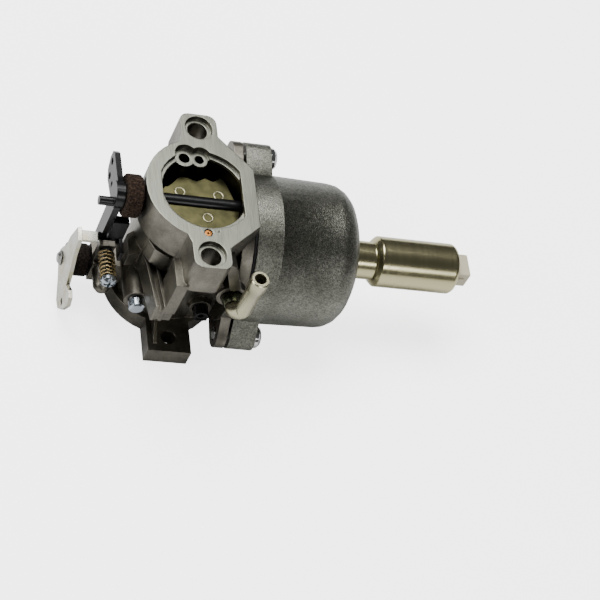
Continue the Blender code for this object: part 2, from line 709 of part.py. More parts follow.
def fuel_cutters():
    """The nozzle bore, the jet's seat, the needle seat, the idle passages and the inlet bore."""
    nozzle = rod(
        "nozzle hole",
        (NOZZLE_TIP_X - 2 * MM, 0, BOWL_AXIS_Z),
        (COLUMN_END_X + 1 * MM, 0, BOWL_AXIS_Z),
        COLUMN_BORE_RADIUS,
        steps=20,
    )
    pilot = rod(
        "pilot jet hole",
        (SEAM_X - 8 * MM, PILOT_JET_Y, BOWL_AXIS_Z),
        (SEAM_X + 1 * MM, PILOT_JET_Y, BOWL_AXIS_Z),
        PILOT_JET_RADIUS + SEAT_GAP,
        steps=16,
    )
    seat = rod(
        "needle seat hole",
        (SEAM_X - 5 * MM, NEEDLE_Y, BOWL_AXIS_Z),
        (SEAM_X + 1 * MM, NEEDLE_Y, BOWL_AXIS_Z),
        NEEDLE_SEAT_RADIUS + SEAT_GAP,
        steps=16,
    )
    inlet = rod(
        "inlet plug hole",
        (INLET_PLUG_X, -31 * MM, INLET_PLUG_Z),
        (INLET_PLUG_X, -20 * MM, INLET_PLUG_Z),
        INLET_PLUG_RADIUS + SEAT_GAP,
    )
    idle_holes = [
        rod(
            f"idle passage {number}",
            (x, IDLE_BOSS_Y, FLANGE_Z - POCKET_DEPTH - IDLE_HOLE_DEPTH),
            (x, IDLE_BOSS_Y, FLANGE_Z),
            radius,
            steps=16,
        )
        for number, (x, radius) in enumerate(zip(IDLE_BOSS_X, IDLE_HOLE_RADIUS))
    ]
    port = rod(
        "idle port hole",
        IDLE_PORT_TOP + Z_AXIS * 1 * MM,
        IDLE_PORT_TOP - Z_AXIS * 5 * MM,
        IDLE_PORT_RADIUS + SEAT_GAP,
        steps=16,
    )
    vent = rod(
        "vent hole",
        (VENT_X, VENT_END_Y - 1 * MM, VENT_Z),
        (VENT_X, -12 * MM, VENT_Z),
        VENT_RADIUS + SEAT_GAP,
        steps=20,
    )
    return [nozzle, pilot, seat, inlet, port, vent, *idle_holes]


def screw_cutters():
    """The holes for the bowl screws, the idle speed screw and the mixture screw."""
    cutters = [
        rod(
            f"bowl screw hole {number}",
            (SEAM_X - DECK_THICKNESS - 3 * MM, y, z),
            (SEAM_X + 1 * MM, y, z),
            BOWL_SCREW_RADIUS + SEAT_GAP,
            steps=16,
        )
        for number, (y, z) in enumerate(lug_places())
    ]
    idle = rod(
        "idle screw hole",
        (IDLE_SCREW_X, IDLE_LUG_Y - IDLE_LUG_THICKNESS - 1 * MM, IDLE_SCREW_Z),
        (IDLE_SCREW_X, IDLE_LUG_Y + 1 * MM, IDLE_SCREW_Z),
        IDLE_SCREW_RADIUS + RUNNING_GAP,
        steps=20,
    )
    mixture = rod(
        "mixture screw hole",
        (MIXTURE_SCREW_X, MIXTURE_BOSS_END_Y - 1 * MM, MIXTURE_SCREW_Z),
        (MIXTURE_SCREW_X, MIXTURE_BOSS_END_Y + 12 * MM, MIXTURE_SCREW_Z),
        MIXTURE_SCREW_RADIUS + RUNNING_GAP,
        steps=20,
    )
    spring_room = rod(
        "mixture spring room",
        (MIXTURE_SCREW_X, MIXTURE_BOSS_END_Y - 1 * MM, MIXTURE_SCREW_Z),
        (MIXTURE_SCREW_X, MIXTURE_BOSS_END_Y + MIXTURE_SPRING_DEPTH, MIXTURE_SCREW_Z),
        MIXTURE_SPRING_RADIUS,
        steps=24,
    )
    return [*cutters, idle, mixture, spring_room]


def vent_boss():
    return rod(
        "vent boss",
        (VENT_X, -21 * MM, VENT_Z),
        (VENT_X, -10 * MM, VENT_Z),
        VENT_RADIUS + 1.6 * MM,
        steps=20,
    )


def hinge_posts():
    """Two small posts on the deck, which hold the float's hinge pin."""
    posts = []
    half = FLOAT_PIN_LENGTH / 2
    for side in (1, -1):
        z = BOWL_AXIS_Z + side * (half - 1.6 * MM)
        low = (SEAM_X - 2 * MM, FLOAT_PIN_Y - 2 * MM, z - 1.3 * MM)
        high = (FLOAT_PIN_X + 2 * MM, FLOAT_PIN_Y + 2 * MM, z + 1.3 * MM)
        posts.append(box(f"hinge post {side}", low, high))
    return posts


def hinge_pin_cutter():
    reach = Z_AXIS * (FLOAT_PIN_LENGTH / 2 + 2 * MM)
    return rod(
        "hinge pin hole",
        FLOAT_PIN_POINT - reach,
        FLOAT_PIN_POINT + reach,
        FLOAT_PIN_RADIUS + SEAT_GAP / 2,
        steps=12,
    )


def body_casting():
    block = prism("body_casting", flange_outline(), "Z", FLANGE_BACK_Z, FLANGE_Z, CAST)
    barrel = rod(
        "barrel", (0, 0, 0.5 * MM), (0, 0, FLANGE_Z - 2 * MM), BARREL_RADIUS, steps=48
    )
    inlet = prism("inlet flange", inlet_outline(), "Z", 0, INLET_THICKNESS)
    grown = [barrel, inlet, *deck_shapes(), *rib_shapes(), *boss_shapes(), *bracket_shapes()]
    add(block, *grown, vent_boss(), *hinge_posts())
    cut(block, bore_cutter(), pocket_cutter(), column_pocket_cutter(), *ear_cutters())
    cut(block, *shaft_cutters(), *fuel_cutters(), *screw_cutters(), hinge_pin_cutter())
    return block


# --- Float bowl ---------------------------------------------------------------------------------


def float_bowl():
    """A deep cup with a thick rim, rounded at its closed end and bored for the solenoid."""
    inner = BOWL_RADIUS - BOWL_WALL
    corner_steps = 5
    outer_corner = arc(
        (BOWL_DEPTH - BOWL_CORNER, BOWL_RADIUS - BOWL_CORNER), BOWL_CORNER, 90, 0, corner_steps
    )
    inner_corner = arc(
        (BOWL_DEPTH - BOWL_CORNER, BOWL_RADIUS - BOWL_CORNER),
        BOWL_CORNER - BOWL_WALL,
        0,
        90,
        corner_steps,
    )
    neck_hole = SOLENOID_NECK_RADIUS - 1.2 * MM + SEAT_GAP
    loop = [(0, inner), (0, BOWL_FLANGE_RADIUS), (BOWL_FLANGE_DEPTH, BOWL_FLANGE_RADIUS)]
    loop += [(BOWL_FLANGE_DEPTH + 0.5 * MM, BOWL_RADIUS + BOWL_DRAFT)]
    loop += outer_corner
    loop += [(BOWL_DEPTH, neck_hole), (BOWL_DEPTH - BOWL_WALL, neck_hole)]
    loop += inner_corner
    origin = (BOWL_SEAM_X, 0, BOWL_AXIS_Z)
    bowl = hollow_turned("float_bowl", loop, X_AXIS, origin, BOWL_CAST, steps=48)
    hollow = turned(
        "bowl hollow",
        ((-1 * MM, inner - 0.05 * MM), (BOWL_FLANGE_DEPTH + 6 * MM, inner - 0.05 * MM)),
        X_AXIS,
        origin,
        steps=48,
    )
    for sign in (1, -1):
        lug_end = BOWL_SEAM_X + BOWL_FLANGE_DEPTH
        lug = prism(f"bowl lug {sign}", lug_outline(sign), "X", BOWL_SEAM_X + 0.02 * MM, lug_end)
        cut(lug, hollow)
        add(bowl, lug)
    for number, (y, z) in enumerate(lug_places()):
        start = (BOWL_SEAM_X - 1 * MM, y, z)
        end = (BOWL_SEAM_X + BOWL_FLANGE_DEPTH + 1 * MM, y, z)
        cut(bowl, rod(f"lug hole {number}", start, end, BOWL_SCREW_RADIUS + SEAT_GAP, steps=16))
    return bowl


def bowl_gasket():
    outer = BOWL_FLANGE_RADIUS - 0.5 * MM
    inner = outer - GASKET_WIDTH
    end = GASKET_THICKNESS
    loop = ((0, inner), (0, outer), (end, outer), (end, inner))
    origin = (SEAM_X + SEAT_GAP / 2, 0, BOWL_AXIS_Z)
    return hollow_turned("bowl_gasket", loop, X_AXIS, origin, RUBBER, steps=48)


def bowl_screws():
    names = ("bowl_screw_upper", "bowl_screw_lower")
    head_x = BOWL_SEAM_X + BOWL_FLANGE_DEPTH + SEAT_GAP
    shank = head_x - (SEAM_X - DECK_THICKNESS + 0.5 * MM)
    for name, (y, z) in zip(names, lug_places()):
        height = BOWL_SCREW_HEAD_HEIGHT
        radius = BOWL_SCREW_HEAD_RADIUS
        profile = (
            (-shank, BOWL_SCREW_RADIUS),
            (0, BOWL_SCREW_RADIUS),
            (0, radius),
            (height * 0.45, radius * 0.98),
            (height * 0.8, radius * 0.78),
            (height, radius * 0.4),
        )
        screw = turned(name, profile, X_AXIS, (head_x, y, z), ZINC, steps=20)
        top = (head_x + height, y, z)
        cut(screw, *cross_recess(f"{name} recess", X_AXIS, top, 2.4 * MM, 1.0 * MM, 1.6 * MM))


# --- Jets, float and needle ---------------------------------------------------------------------


def main_nozzle():
    """A brass tube from the venturi into the column."""
    end = COLUMN_END_X - JET_LENGTH - 1 * MM - NOZZLE_TIP_X
    loop = (
        (0, NOZZLE_BORE_RADIUS),
        (0, NOZZLE_RADIUS - 0.4 * MM),
        (1.5 * MM, NOZZLE_RADIUS),
        (end, NOZZLE_RADIUS),
        (end, NOZZLE_BORE_RADIUS),
    )
    origin = (NOZZLE_TIP_X, 0, BOWL_AXIS_Z)
    hollow_turned("main_nozzle", loop, X_AXIS, origin, BRASS, steps=20)


def main_jet():
    """The brass jet in the column's end, with a head that the solenoid's plunger closes."""
    head = 1.6 * MM
    loop = (
        (-JET_LENGTH, JET_BORE_RADIUS),
        (-JET_LENGTH, JET_RADIUS),
        (0, JET_RADIUS),
        (0, JET_RADIUS + 1.6 * MM),
        (head, JET_RADIUS + 1.6 * MM),
        (head, JET_BORE_RADIUS),
    )
    origin = (COLUMN_END_X + SEAT_GAP, 0, BOWL_AXIS_Z)
    hollow_turned("main_jet", loop, X_AXIS, origin, BRASS, steps=18)


def pilot_jet():
    start = SEAM_X - 7 * MM
    loop = (
        (0, 0.5 * MM),
        (0, PILOT_JET_RADIUS),
        (PILOT_JET_LENGTH - 2 * MM, PILOT_JET_RADIUS),
        (PILOT_JET_LENGTH, PILOT_JET_RADIUS * 0.8),
        (PILOT_JET_LENGTH, 0.5 * MM),
    )
    hollow_turned("pilot_jet", loop, X_AXIS, (start, PILOT_JET_Y, BOWL_AXIS_Z), BRASS, steps=14)


def needle_parts():
    """The brass seat in the deck, the needle that closes it, and the clip to the float's tongue."""
    seat_length = 4.6 * MM
    seat_start = SEAM_X - seat_length
    loop = (
        (0, NEEDLE_RADIUS * 0.6),
        (0, NEEDLE_SEAT_RADIUS),
        (seat_length, NEEDLE_SEAT_RADIUS),
        (seat_length, NEEDLE_RADIUS + 0.5 * MM),
        (seat_length - 2.6 * MM, NEEDLE_RADIUS + 0.5 * MM),
        (seat_length - 3.6 * MM, NEEDLE_RADIUS * 0.6),
    )
    origin = (seat_start, NEEDLE_Y, BOWL_AXIS_Z)
    hollow_turned("needle_seat", loop, X_AXIS, origin, BRASS, steps=16)
    tip_x = SEAM_X - 2.6 * MM
    profile = (
        (0, 0.35 * MM),
        (1.2 * MM, NEEDLE_RADIUS),
        (NEEDLE_LENGTH, NEEDLE_RADIUS),
    )
    turned("needle_valve", profile, X_AXIS, (tip_x, NEEDLE_Y, BOWL_AXIS_Z), STEEL, steps=14)


def float_parts():
    """The ring-shaped float round the jet column, its arms to the hinge pin, and the pin."""
    end = FLOAT_START_X + FLOAT_THICKNESS
    round_off = 2 * MM
    loop = (
        (FLOAT_START_X, FLOAT_HOLE_RADIUS),
        (FLOAT_START_X, FLOAT_RADIUS - round_off),
        (FLOAT_START_X + round_off, FLOAT_RADIUS),
        (end - round_off, FLOAT_RADIUS),
        (end, FLOAT_RADIUS - round_off),
        (end, FLOAT_HOLE_RADIUS),
    )
    pivot = FLOAT_PIN_POINT
    ring = hollow_turned(
        "float", loop, X_AXIS, (0, 0, BOWL_AXIS_Z), BLACK_PLASTIC, steps=40, pivot=pivot
    )
    arm_half = 2.6 * MM
    arm_low = (FLOAT_PIN_X - 2 * MM, FLOAT_PIN_Y - 1.8 * MM, BOWL_AXIS_Z - arm_half)
    arm_high = (FLOAT_START_X + 1 * MM, FLOAT_PIN_Y + 2 * MM, BOWL_AXIS_Z + arm_half)
    arm = box("float arm", arm_low, arm_high)
    tongue_x = SEAM_X - 2.6 * MM + NEEDLE_LENGTH + 0.4 * MM
    tongue_low = (tongue_x, FLOAT_PIN_Y + 1 * MM, BOWL_AXIS_Z - 1.6 * MM)
    tongue_high = (tongue_x + 1.4 * MM, NEEDLE_Y + 1.4 * MM, BOWL_AXIS_Z + 1.6 * MM)
    tongue = box("float tongue", tongue_low, tongue_high)
    add(ring, arm, tongue)
    reach = Z_AXIS * (arm_half + 2 * MM)
    hole_radius = FLOAT_PIN_RADIUS + RUNNING_GAP
    cut(ring, rod("float hinge hole", pivot - reach, pivot + reach, hole_radius, steps=14))
    half = Z_AXIS * FLOAT_PIN_LENGTH / 2
    rod("float_hinge_pin", pivot - half, pivot + half, FLOAT_PIN_RADIUS, STEEL, steps=14)


# --- Fuel shut-off solenoid ---------------------------------------------------------------------


def solenoid_parts():
    axis_point = (0, 0, BOWL_AXIS_Z)
    thread = SOLENOID_NECK_RADIUS - 1.2 * MM
    washer_start = BOWL_END_X + SEAT_GAP
    washer_end = washer_start + SOLENOID_WASHER_THICKNESS
    neck_start = washer_end + SEAT_GAP
    neck_end = neck_start + SOLENOID_NECK_LENGTH - SOLENOID_WASHER_THICKNESS
    case_end = neck_end + SOLENOID_LENGTH
    inside_start = BOWL_END_X - BOWL_WALL - 3.5 * MM
    bore = SOLENOID_BORE_RADIUS
    bore_end = case_end - 9 * MM
    loop = (
        (inside_start, bore),
        (inside_start, thread),
        (neck_start, thread),
        (neck_start, SOLENOID_NECK_RADIUS),
        (neck_end, SOLENOID_NECK_RADIUS),
        (neck_end + 2.2 * MM, SOLENOID_RADIUS),
        (case_end - 2.4 * MM, SOLENOID_RADIUS),
        (case_end - 0.8 * MM, SOLENOID_RADIUS - 0.7 * MM),
        (case_end, SOLENOID_RADIUS - 2 * MM),
        (case_end, 2.5 * MM),
        (bore_end, 2.5 * MM),
        (bore_end, bore),
    )
    hollow_turned("solenoid_case", loop, X_AXIS, axis_point, YELLOW_ZINC, steps=36)
    washer = (
        (washer_start, thread + SEAT_GAP),
        (washer_start, SOLENOID_WASHER_RADIUS),
        (washer_end, SOLENOID_WASHER_RADIUS),
        (washer_end, thread + SEAT_GAP),
    )
    hollow_turned("solenoid_washer", washer, X_AXIS, axis_point, ZINC, steps=28)
    plunger_parts(bore_end)
    connector(case_end)


def plunger_parts(bore_end):
    """The plunger, held out by its spring against the jet when the coil is off."""
    jet_face = COLUMN_END_X + SEAT_GAP + 1.6 * MM
    nose_start = jet_face + SEAT_GAP
    body_start = nose_start + 4 * MM
    body_end = bore_end - 9 * MM
    profile = (
        (nose_start, 0.3 * MM),
        (nose_start + 1.0 * MM, PLUNGER_NOSE_RADIUS),
        (body_start, PLUNGER_NOSE_RADIUS),
        (body_start, PLUNGER_RADIUS),
        (body_end, PLUNGER_RADIUS),
    )
    turned("solenoid_plunger", profile, X_AXIS, (0, 0, BOWL_AXIS_Z), STEEL, steps=20)
    coil_spring(
        "solenoid_spring",
        (body_end + SEAT_GAP, 0, BOWL_AXIS_Z),
        (bore_end - SEAT_GAP, 0, BOWL_AXIS_Z),
        PLUNGER_RADIUS - 0.8 * MM,
        5,
        STEEL,
        steps_per_turn=8,
        wire_steps=5,
    )


def connector(case_end):
    """The two-blade plug socket on the solenoid's end, open outwards, with a latch on its side."""
    start = case_end + SEAT_GAP
    end = start + CONNECTOR_LENGTH
    half_y, half_z = CONNECTOR_WIDTH / 2, CONNECTOR_HEIGHT / 2
    shell = box(
        "solenoid_connector",
        (start, -half_y, BOWL_AXIS_Z - half_z),
        (end, half_y, BOWL_AXIS_Z + half_z),
        IVORY,
    )
    floor = 2.6 * MM
    inner_y, inner_z = half_y - CONNECTOR_WALL, half_z - CONNECTOR_WALL
    hollow = box(
        "connector hollow",
        (start + floor, -inner_y, BOWL_AXIS_Z - inner_z),
        (end + 1 * MM, inner_y, BOWL_AXIS_Z + inner_z),
    )
    latch = box(
        "connector latch",
        (start + 0.8 * MM, -half_y - 0.6 * MM, BOWL_AXIS_Z - 1.6 * MM),
        (start + 3.6 * MM, -half_y + BITE, BOWL_AXIS_Z + 1.6 * MM),
    )
    add(shell, latch)
    cut(shell, hollow)
    blade_y = 2.2 * MM
    for name, side in (("connector_blade_upper", 1), ("connector_blade_lower", -1)):
        y = side * blade_y
        low = (start - 5 * MM, y - 0.4 * MM, BOWL_AXIS_Z - 1.1 * MM)
        high = (end - 1.0 * MM, y + 0.4 * MM, BOWL_AXIS_Z + 1.1 * MM)
        margin = SEAT_GAP
        slot_low = (low[0] - 1 * MM, low[1] - margin, low[2] - margin)
        slot_high = (start + floor + 1 * MM, high[1] + margin, high[2] + margin)
        cut(shell, box(f"{name} slot", slot_low, slot_high))
        blade_low = (start + SEAT_GAP, low[1], low[2])
        box(name, blade_low, high, ZINC)


# --- Throttle -----------------------------------------------------------------------------------


def throttle_plate_top(x):
    """Half-height of the plate's upper edge at x: it rises and dips in two shallow scallops."""
    for (x_a, y_a), (x_b, y_b) in zip(THROTTLE_PLATE_EDGE, THROTTLE_PLATE_EDGE[1:]):
        if x_a <= x <= x_b:
            share = (1 - math.cos(math.pi * (x - x_a) / (x_b - x_a))) / 2
            return y_a + (y_b - y_a) * share
    return BORE_RADIUS


def throttle_plate():
    """A thin plate that fills the bore, with its upper edge scalloped to clear the idle columns."""
    radius = BORE_RADIUS - PLATE_CLEARANCE
    steps = 60
    outline = []
    for i in range(steps):
        angle = 2 * math.pi * i / steps
        x, y = radius * math.cos(angle), radius * math.sin(angle)
        if y > 0:
            y = min(y, throttle_plate_top(x))
        outline.append((x, y))
    pivot = Vector((0, 0, THROTTLE_Z))
    half = THROTTLE_PLATE_THICKNESS / 2
    start, end = THROTTLE_Z - half, THROTTLE_Z + half
    prism("throttle_plate", outline, "Z", start, end, YELLOW_ZINC, pivot)


def throttle_lever():
    """One black moulding: the shaft, the governor lever, the peg and the stop arm."""
    pivot = Vector((0, 0, THROTTLE_Z))
    inner_x = THROTTLE_LEVER_X
    outer_x = inner_x - 3.4 * MM
    lever_out = inner_x - 0.5 * MM - THROTTLE_LEVER_THICKNESS
    shaft = turned(
        "throttle_shaft_lever",
        ((outer_x, THROTTLE_SHAFT_RADIUS), (BORE_RADIUS + 2.4 * MM, THROTTLE_SHAFT_RADIUS)),
        X_AXIS,
        (0, 0, THROTTLE_Z),
        BLACK_PLASTIC,
        pivot=pivot,
    )
    hub = rod("throttle hub", (outer_x, 0, THROTTLE_Z), (inner_x, 0, THROTTLE_Z), 5 * MM)
    reach = THROTTLE_LEVER_REACH
    outline = [
        (-3.2 * MM, -4.6 * MM),
        (5 * MM, -7.0 * MM),
        (12.5 * MM, -8.2 * MM),
        (reach - 2.2 * MM, -6.6 * MM),
        (reach, -2 * MM),
        (reach, 1.6 * MM),
        (reach - 2 * MM, 3.2 * MM),
        (6 * MM, 3.8 * MM),
        (-2 * MM, 4.6 * MM),
    ]
    outline = [(y, z + THROTTLE_Z) for y, z in outline]
    lever = prism("throttle lever", outline, "X", lever_out, inner_x - 0.5 * MM)
    peg_y, peg_z = -2.6 * MM, THROTTLE_Z - 1.2 * MM
    peg = rod(
        "throttle peg",
        (lever_out - THROTTLE_PEG_LENGTH, peg_y, peg_z),
        (inner_x - 0.3 * MM, peg_y, peg_z),
        THROTTLE_PEG_RADIUS,
        steps=20,
    )
    add(shaft, hub, lever, peg, *stop_arm(outer_x, inner_x))
    plate_radius = BORE_RADIUS - PLATE_CLEARANCE
    slot_half = THROTTLE_PLATE_THICKNESS / 2 + SEAT_GAP
    slot = box(
        "plate slot",
        (-plate_radius - SEAT_GAP / 2, -10 * MM, THROTTLE_Z - slot_half),
        (plate_radius + SEAT_GAP / 2, 10 * MM, THROTTLE_Z + slot_half),
    )
    holes = [
        rod(
            f"lever hole {number}",
            (lever_out - 1 * MM, y, THROTTLE_Z + z),
            (inner_x + 1 * MM, y, THROTTLE_Z + z),
            radius,
            steps=14,
        )
        for number, (y, z, radius) in enumerate(
            (
                (15.2 * MM, -0.4 * MM, 1.4 * MM),
                (12.0 * MM, -5.0 * MM, 1.4 * MM),
                (7.0 * MM, -3.6 * MM, 1.2 * MM),
            )
        )
    ]
    cut(shaft, slot, *holes)
    return shaft


def stop_arm(outer_x, inner_x):
    """The arm that drops from the hub, its web, and the hooked pad that the idle screw pushes."""
    foot_z = THROTTLE_Z - STOP_ARM_DROP
    outline = [
        (-4.4 * MM, THROTTLE_Z - 2 * MM),
        (3.4 * MM, THROTTLE_Z - 3 * MM),
        (2.4 * MM, foot_z - 1.0 * MM),
        (-0.9 * MM, foot_z - 1.0 * MM),
        (-0.9 * MM, foot_z + 5 * MM),
        (-4.4 * MM, foot_z + 9 * MM),
    ]
    arm = prism("stop arm", outline, "X", outer_x + 0.4 * MM, inner_x - 0.4 * MM)
    block = box(
        "arm web",
        (inner_x - 1 * MM, -5.6 * MM, foot_z + 8 * MM),
        (inner_x + 5 * MM, -2.2 * MM, foot_z + 17.5 * MM),
    )
    tip = IDLE_LUG_Y + 1.5 * MM
    pad = box(
        "stop pad",
        (inner_x - 1 * MM, tip + 0.4 * MM, foot_z - 2.4 * MM),
        (inner_x + 6.0 * MM, tip + 2.9 * MM, foot_z + 4.6 * MM),
    )
    hook = box(
        "stop hook",
        (inner_x + 4.6 * MM, tip - 8.5 * MM, foot_z - 0.4 * MM),
        (inner_x + 6.0 * MM, tip + 1.4 * MM, foot_z + 4.6 * MM),
    )
    return [arm, block, pad, hook]


def foam_seal(name, start_x, radius, length, shaft_radius, z):
    """A foam ring round a shaft, between its boss and its lever."""
    bore = shaft_radius + 0.5 * MM
    loop = ((-length, bore), (-length, radius), (0, radius), (0, bore))
    hollow_turned(name, loop, X_AXIS, (start_x, 0, z), FOAM, steps=24)


# --- Choke --------------------------------------------------------------------------------------


def choke_parts():
    pivot = Vector((0, 0, CHOKE_HEIGHT))
    end_x = CHOKE_LEVER_X - CHOKE_LEVER_THICKNESS - 1.4 * MM
    shaft = turned(
        "choke_shaft",
        (
            (end_x, 1.7 * MM),
            (CHOKE_LEVER_X - CHOKE_LEVER_THICKNESS - SEAT_GAP, 2.9 * MM),
            (CHOKE_LEVER_X - CHOKE_LEVER_THICKNESS - SEAT_GAP, 1.5 * MM),
            (CHOKE_LEVER_X + SEAT_GAP, 1.5 * MM),
            (CHOKE_LEVER_X + SEAT_GAP, CHOKE_SHAFT_RADIUS),
            (BORE_RADIUS + 2.4 * MM, CHOKE_SHAFT_RADIUS),
        ),
        X_AXIS,
        pivot,
        STEEL,
        steps=24,
        pivot=pivot,
    )
    plate_half = BORE_RADIUS - PLATE_CLEARANCE
    slot_half = CHOKE_PLATE_THICKNESS / 2 + SEAT_GAP
    slot = box(
        "choke slot",
        (-plate_half - SEAT_GAP / 2, -slot_half, CHOKE_HEIGHT - 6 * MM),
        (plate_half + SEAT_GAP / 2, slot_half, CHOKE_HEIGHT + 6 * MM),
    )
    cut(shaft, slot)
    choke_plate(pivot)
    choke_lever(pivot)


def choke_plate(pivot):
    """A disc cut straight on its inlet side, so that it stays inside the body when it is open."""
    radius = BORE_RADIUS - PLATE_CLEARANCE
    edge = math.degrees(math.asin(CHOKE_PLATE_TRIM / radius))
    outline = arc((0, CHOKE_HEIGHT), radius, -edge, 180 + edge, 34)
    half = CHOKE_PLATE_THICKNESS / 2
    plate = prism("choke_plate", outline, "Y", -half, half, YELLOW_ZINC, pivot)
    shaft = bpy.data.objects["choke_shaft"]
    for number, x in enumerate((-CHOKE_SCREW_X, CHOKE_SCREW_X), 1):
        name = f"choke_plate_screw_{number}"
        shank = CHOKE_SCREW_RADIUS
        flat = CHOKE_SHAFT_RADIUS + SEAT_GAP
        profile = (
            (-2 * MM, shank),
            (flat, shank),
            (flat, 2 * shank),
            (flat + 0.7 * MM, 1.9 * shank),
            (flat + 1.1 * MM, 1.1 * shank),
        )
        turned(name, profile, -Y_AXIS, (x, 0, CHOKE_HEIGHT), ZINC, steps=14)
        for piece in (plate, shaft):
            reach = 3 * MM
            start, end = (x, reach, CHOKE_HEIGHT), (x, -reach, CHOKE_HEIGHT)
            hole = rod(f"{name} hole {piece.name}", start, end, shank + 0.25 * MM, steps=11)
            cut(piece, hole)


def choke_lever(pivot):
    """A pressed lever on the shaft's end: a tab at its top, and a rounded finger that hangs out."""
    outer_x = CHOKE_LEVER_X - CHOKE_LEVER_THICKNESS
    outline = [
        (-8.9 * MM, 24.4 * MM),
        (-3.2 * MM, 25.0 * MM),
        (-0.2 * MM, 14.6 * MM),
        (0.2 * MM, 8.6 * MM),
        (2.6 * MM, 3.6 * MM),
        (3.9 * MM, 0),
        (2.9 * MM, -3.0 * MM),
        (0, -4.4 * MM),
        (-5.1 * MM, -6.3 * MM),
        (-12.4 * MM, -10.3 * MM),
        (-16.6 * MM, -9.4 * MM),
        (-20.4 * MM, -4.6 * MM),
        (-23.9 * MM, 3.2 * MM),
        (-22.6 * MM, 6.6 * MM),
        (-19.4 * MM, 7.2 * MM),
        (-15.3 * MM, 4.4 * MM),
        (-13.3 * MM, 10.1 * MM),
        (-10.2 * MM, 16.7 * MM),
    ]
    outline = [(y, z + CHOKE_HEIGHT) for y, z in outline]
    lever = prism("choke_lever", outline, "X", outer_x, CHOKE_LEVER_X, ZINC, pivot)
    tab = box(
        "choke tab",
        (outer_x + 0.1 * MM, -8.4 * MM, CHOKE_HEIGHT + 23.0 * MM),
        (CHOKE_LEVER_X + CHOKE_TAB_LENGTH, -3.9 * MM, CHOKE_HEIGHT + 24.3 * MM),
    )
    hole = rod(
        "choke lever hole",
        (outer_x - 1 * MM, 0, CHOKE_HEIGHT),
        (CHOKE_LEVER_X + 1 * MM, 0, CHOKE_HEIGHT),
        1.5 * MM + SEAT_GAP,
        steps=16,
    )
    finger_hole = rod(
        "finger hole",
        (outer_x - 1 * MM, -17.6 * MM, CHOKE_HEIGHT - 3.4 * MM),
        (CHOKE_LEVER_X + 1 * MM, -17.6 * MM, CHOKE_HEIGHT - 3.4 * MM),
        1.5 * MM,
        steps=14,
    )
    add(lever, tab)
    cut(lever, hole, finger_hole)


# --- Adjusting screws ---------------------------------------------------------------------------


def idle_speed_screw():
    """A pan-head screw through the lug, held by a spring under its head."""
    head_y = IDLE_SCREW_HEAD_Y
    tip_y = IDLE_LUG_Y + 1.5 * MM
    pivot = Vector((IDLE_SCREW_X, head_y, IDLE_SCREW_Z))
    radius = IDLE_SCREW_HEAD_RADIUS
    profile = (
        (-2.6 * MM, radius * 0.45),
        (-2.0 * MM, radius * 0.8),
        (-1.2 * MM, radius),
        (0, radius),
        (0, IDLE_SCREW_RADIUS),
        (tip_y - head_y, IDLE_SCREW_RADIUS),
    )
    screw = turned("idle_speed_screw", profile, Y_AXIS, pivot, ZINC, steps=20, pivot=pivot)
    top = pivot - Y_AXIS * 2.6 * MM
    cut(screw, *cross_recess("idle recess", Y_AXIS, top, 2.0 * MM, 0.9 * MM, 1.3 * MM))
    coil_spring(
        "idle_speed_spring",
        pivot + Y_AXIS * SEAT_GAP,
        (IDLE_SCREW_X, IDLE_LUG_Y - IDLE_LUG_THICKNESS - SEAT_GAP, IDLE_SCREW_Z),
        IDLE_SCREW_HEAD_RADIUS - SPRING_WIRE_RADIUS,
        SPRING_TURNS,
        YELLOW_ZINC,
    )


def mixture_screw():
    """A knurled needle screw in its boss."""
    head_end = MIXTURE_BOSS_END_Y - SEAT_GAP
    length = 3.4 * MM
    pivot = Vector((MIXTURE_SCREW_X, head_end, MIXTURE_SCREW_Z))
    radius = MIXTURE_HEAD_RADIUS
    profile = (
        (-length - 0.5 * MM, radius * 0.72),
        (-length, radius * 0.95),
        (-0.4 * MM, radius),
        (0, radius * 0.9),
        (0, MIXTURE_SCREW_RADIUS),
        (9 * MM, MIXTURE_SCREW_RADIUS),
        (11.5 * MM, 0.6 * MM),
    )
    turned("idle_mixture_screw", profile, Y_AXIS, pivot, ZINC, steps=24, pivot=pivot)
    coil_spring(
        "idle_mixture_spring",
        pivot + Y_AXIS * SEAT_GAP,
        (MIXTURE_SCREW_X, MIXTURE_BOSS_END_Y + MIXTURE_SPRING_DEPTH - SEAT_GAP, MIXTURE_SCREW_Z),
        MIXTURE_SPRING_RADIUS - SEAT_GAP - SPRING_WIRE_RADIUS,
        3,
        STEEL,
        steps_per_turn=9,
        wire_steps=5,
    )


# --- Fuel inlet and small pieces ----------------------------------------------------------------


def fuel_inlet():
    """The domed plug in the deck's rim, and the steel tube bent up out of it."""
    socket = FUEL_TUBE_SPIGOT_RADIUS + SEAT_GAP
    socket_depth = 2.8 * MM
    radius = INLET_PLUG_RADIUS
    end = -INLET_PLUG_END_Y
    loop = (
        (20.4 * MM, 1.2 * MM),
        (20.4 * MM, radius),
        (end - 3.4 * MM, radius),
        (end - 2.0 * MM, radius * 0.97),
        (end - 0.8 * MM, radius * 0.87),
        (end, socket + 0.3 * MM),
        (end, socket),
        (end - socket_depth, socket),
        (end - socket_depth, 1.2 * MM),
    )
    origin = (INLET_PLUG_X, 0, INLET_PLUG_Z)
    hollow_turned("fuel_inlet_plug", loop, -Y_AXIS, origin, OLIVE, steps=28)
    fuel_tube(INLET_PLUG_END_Y + socket_depth - SEAT_GAP)


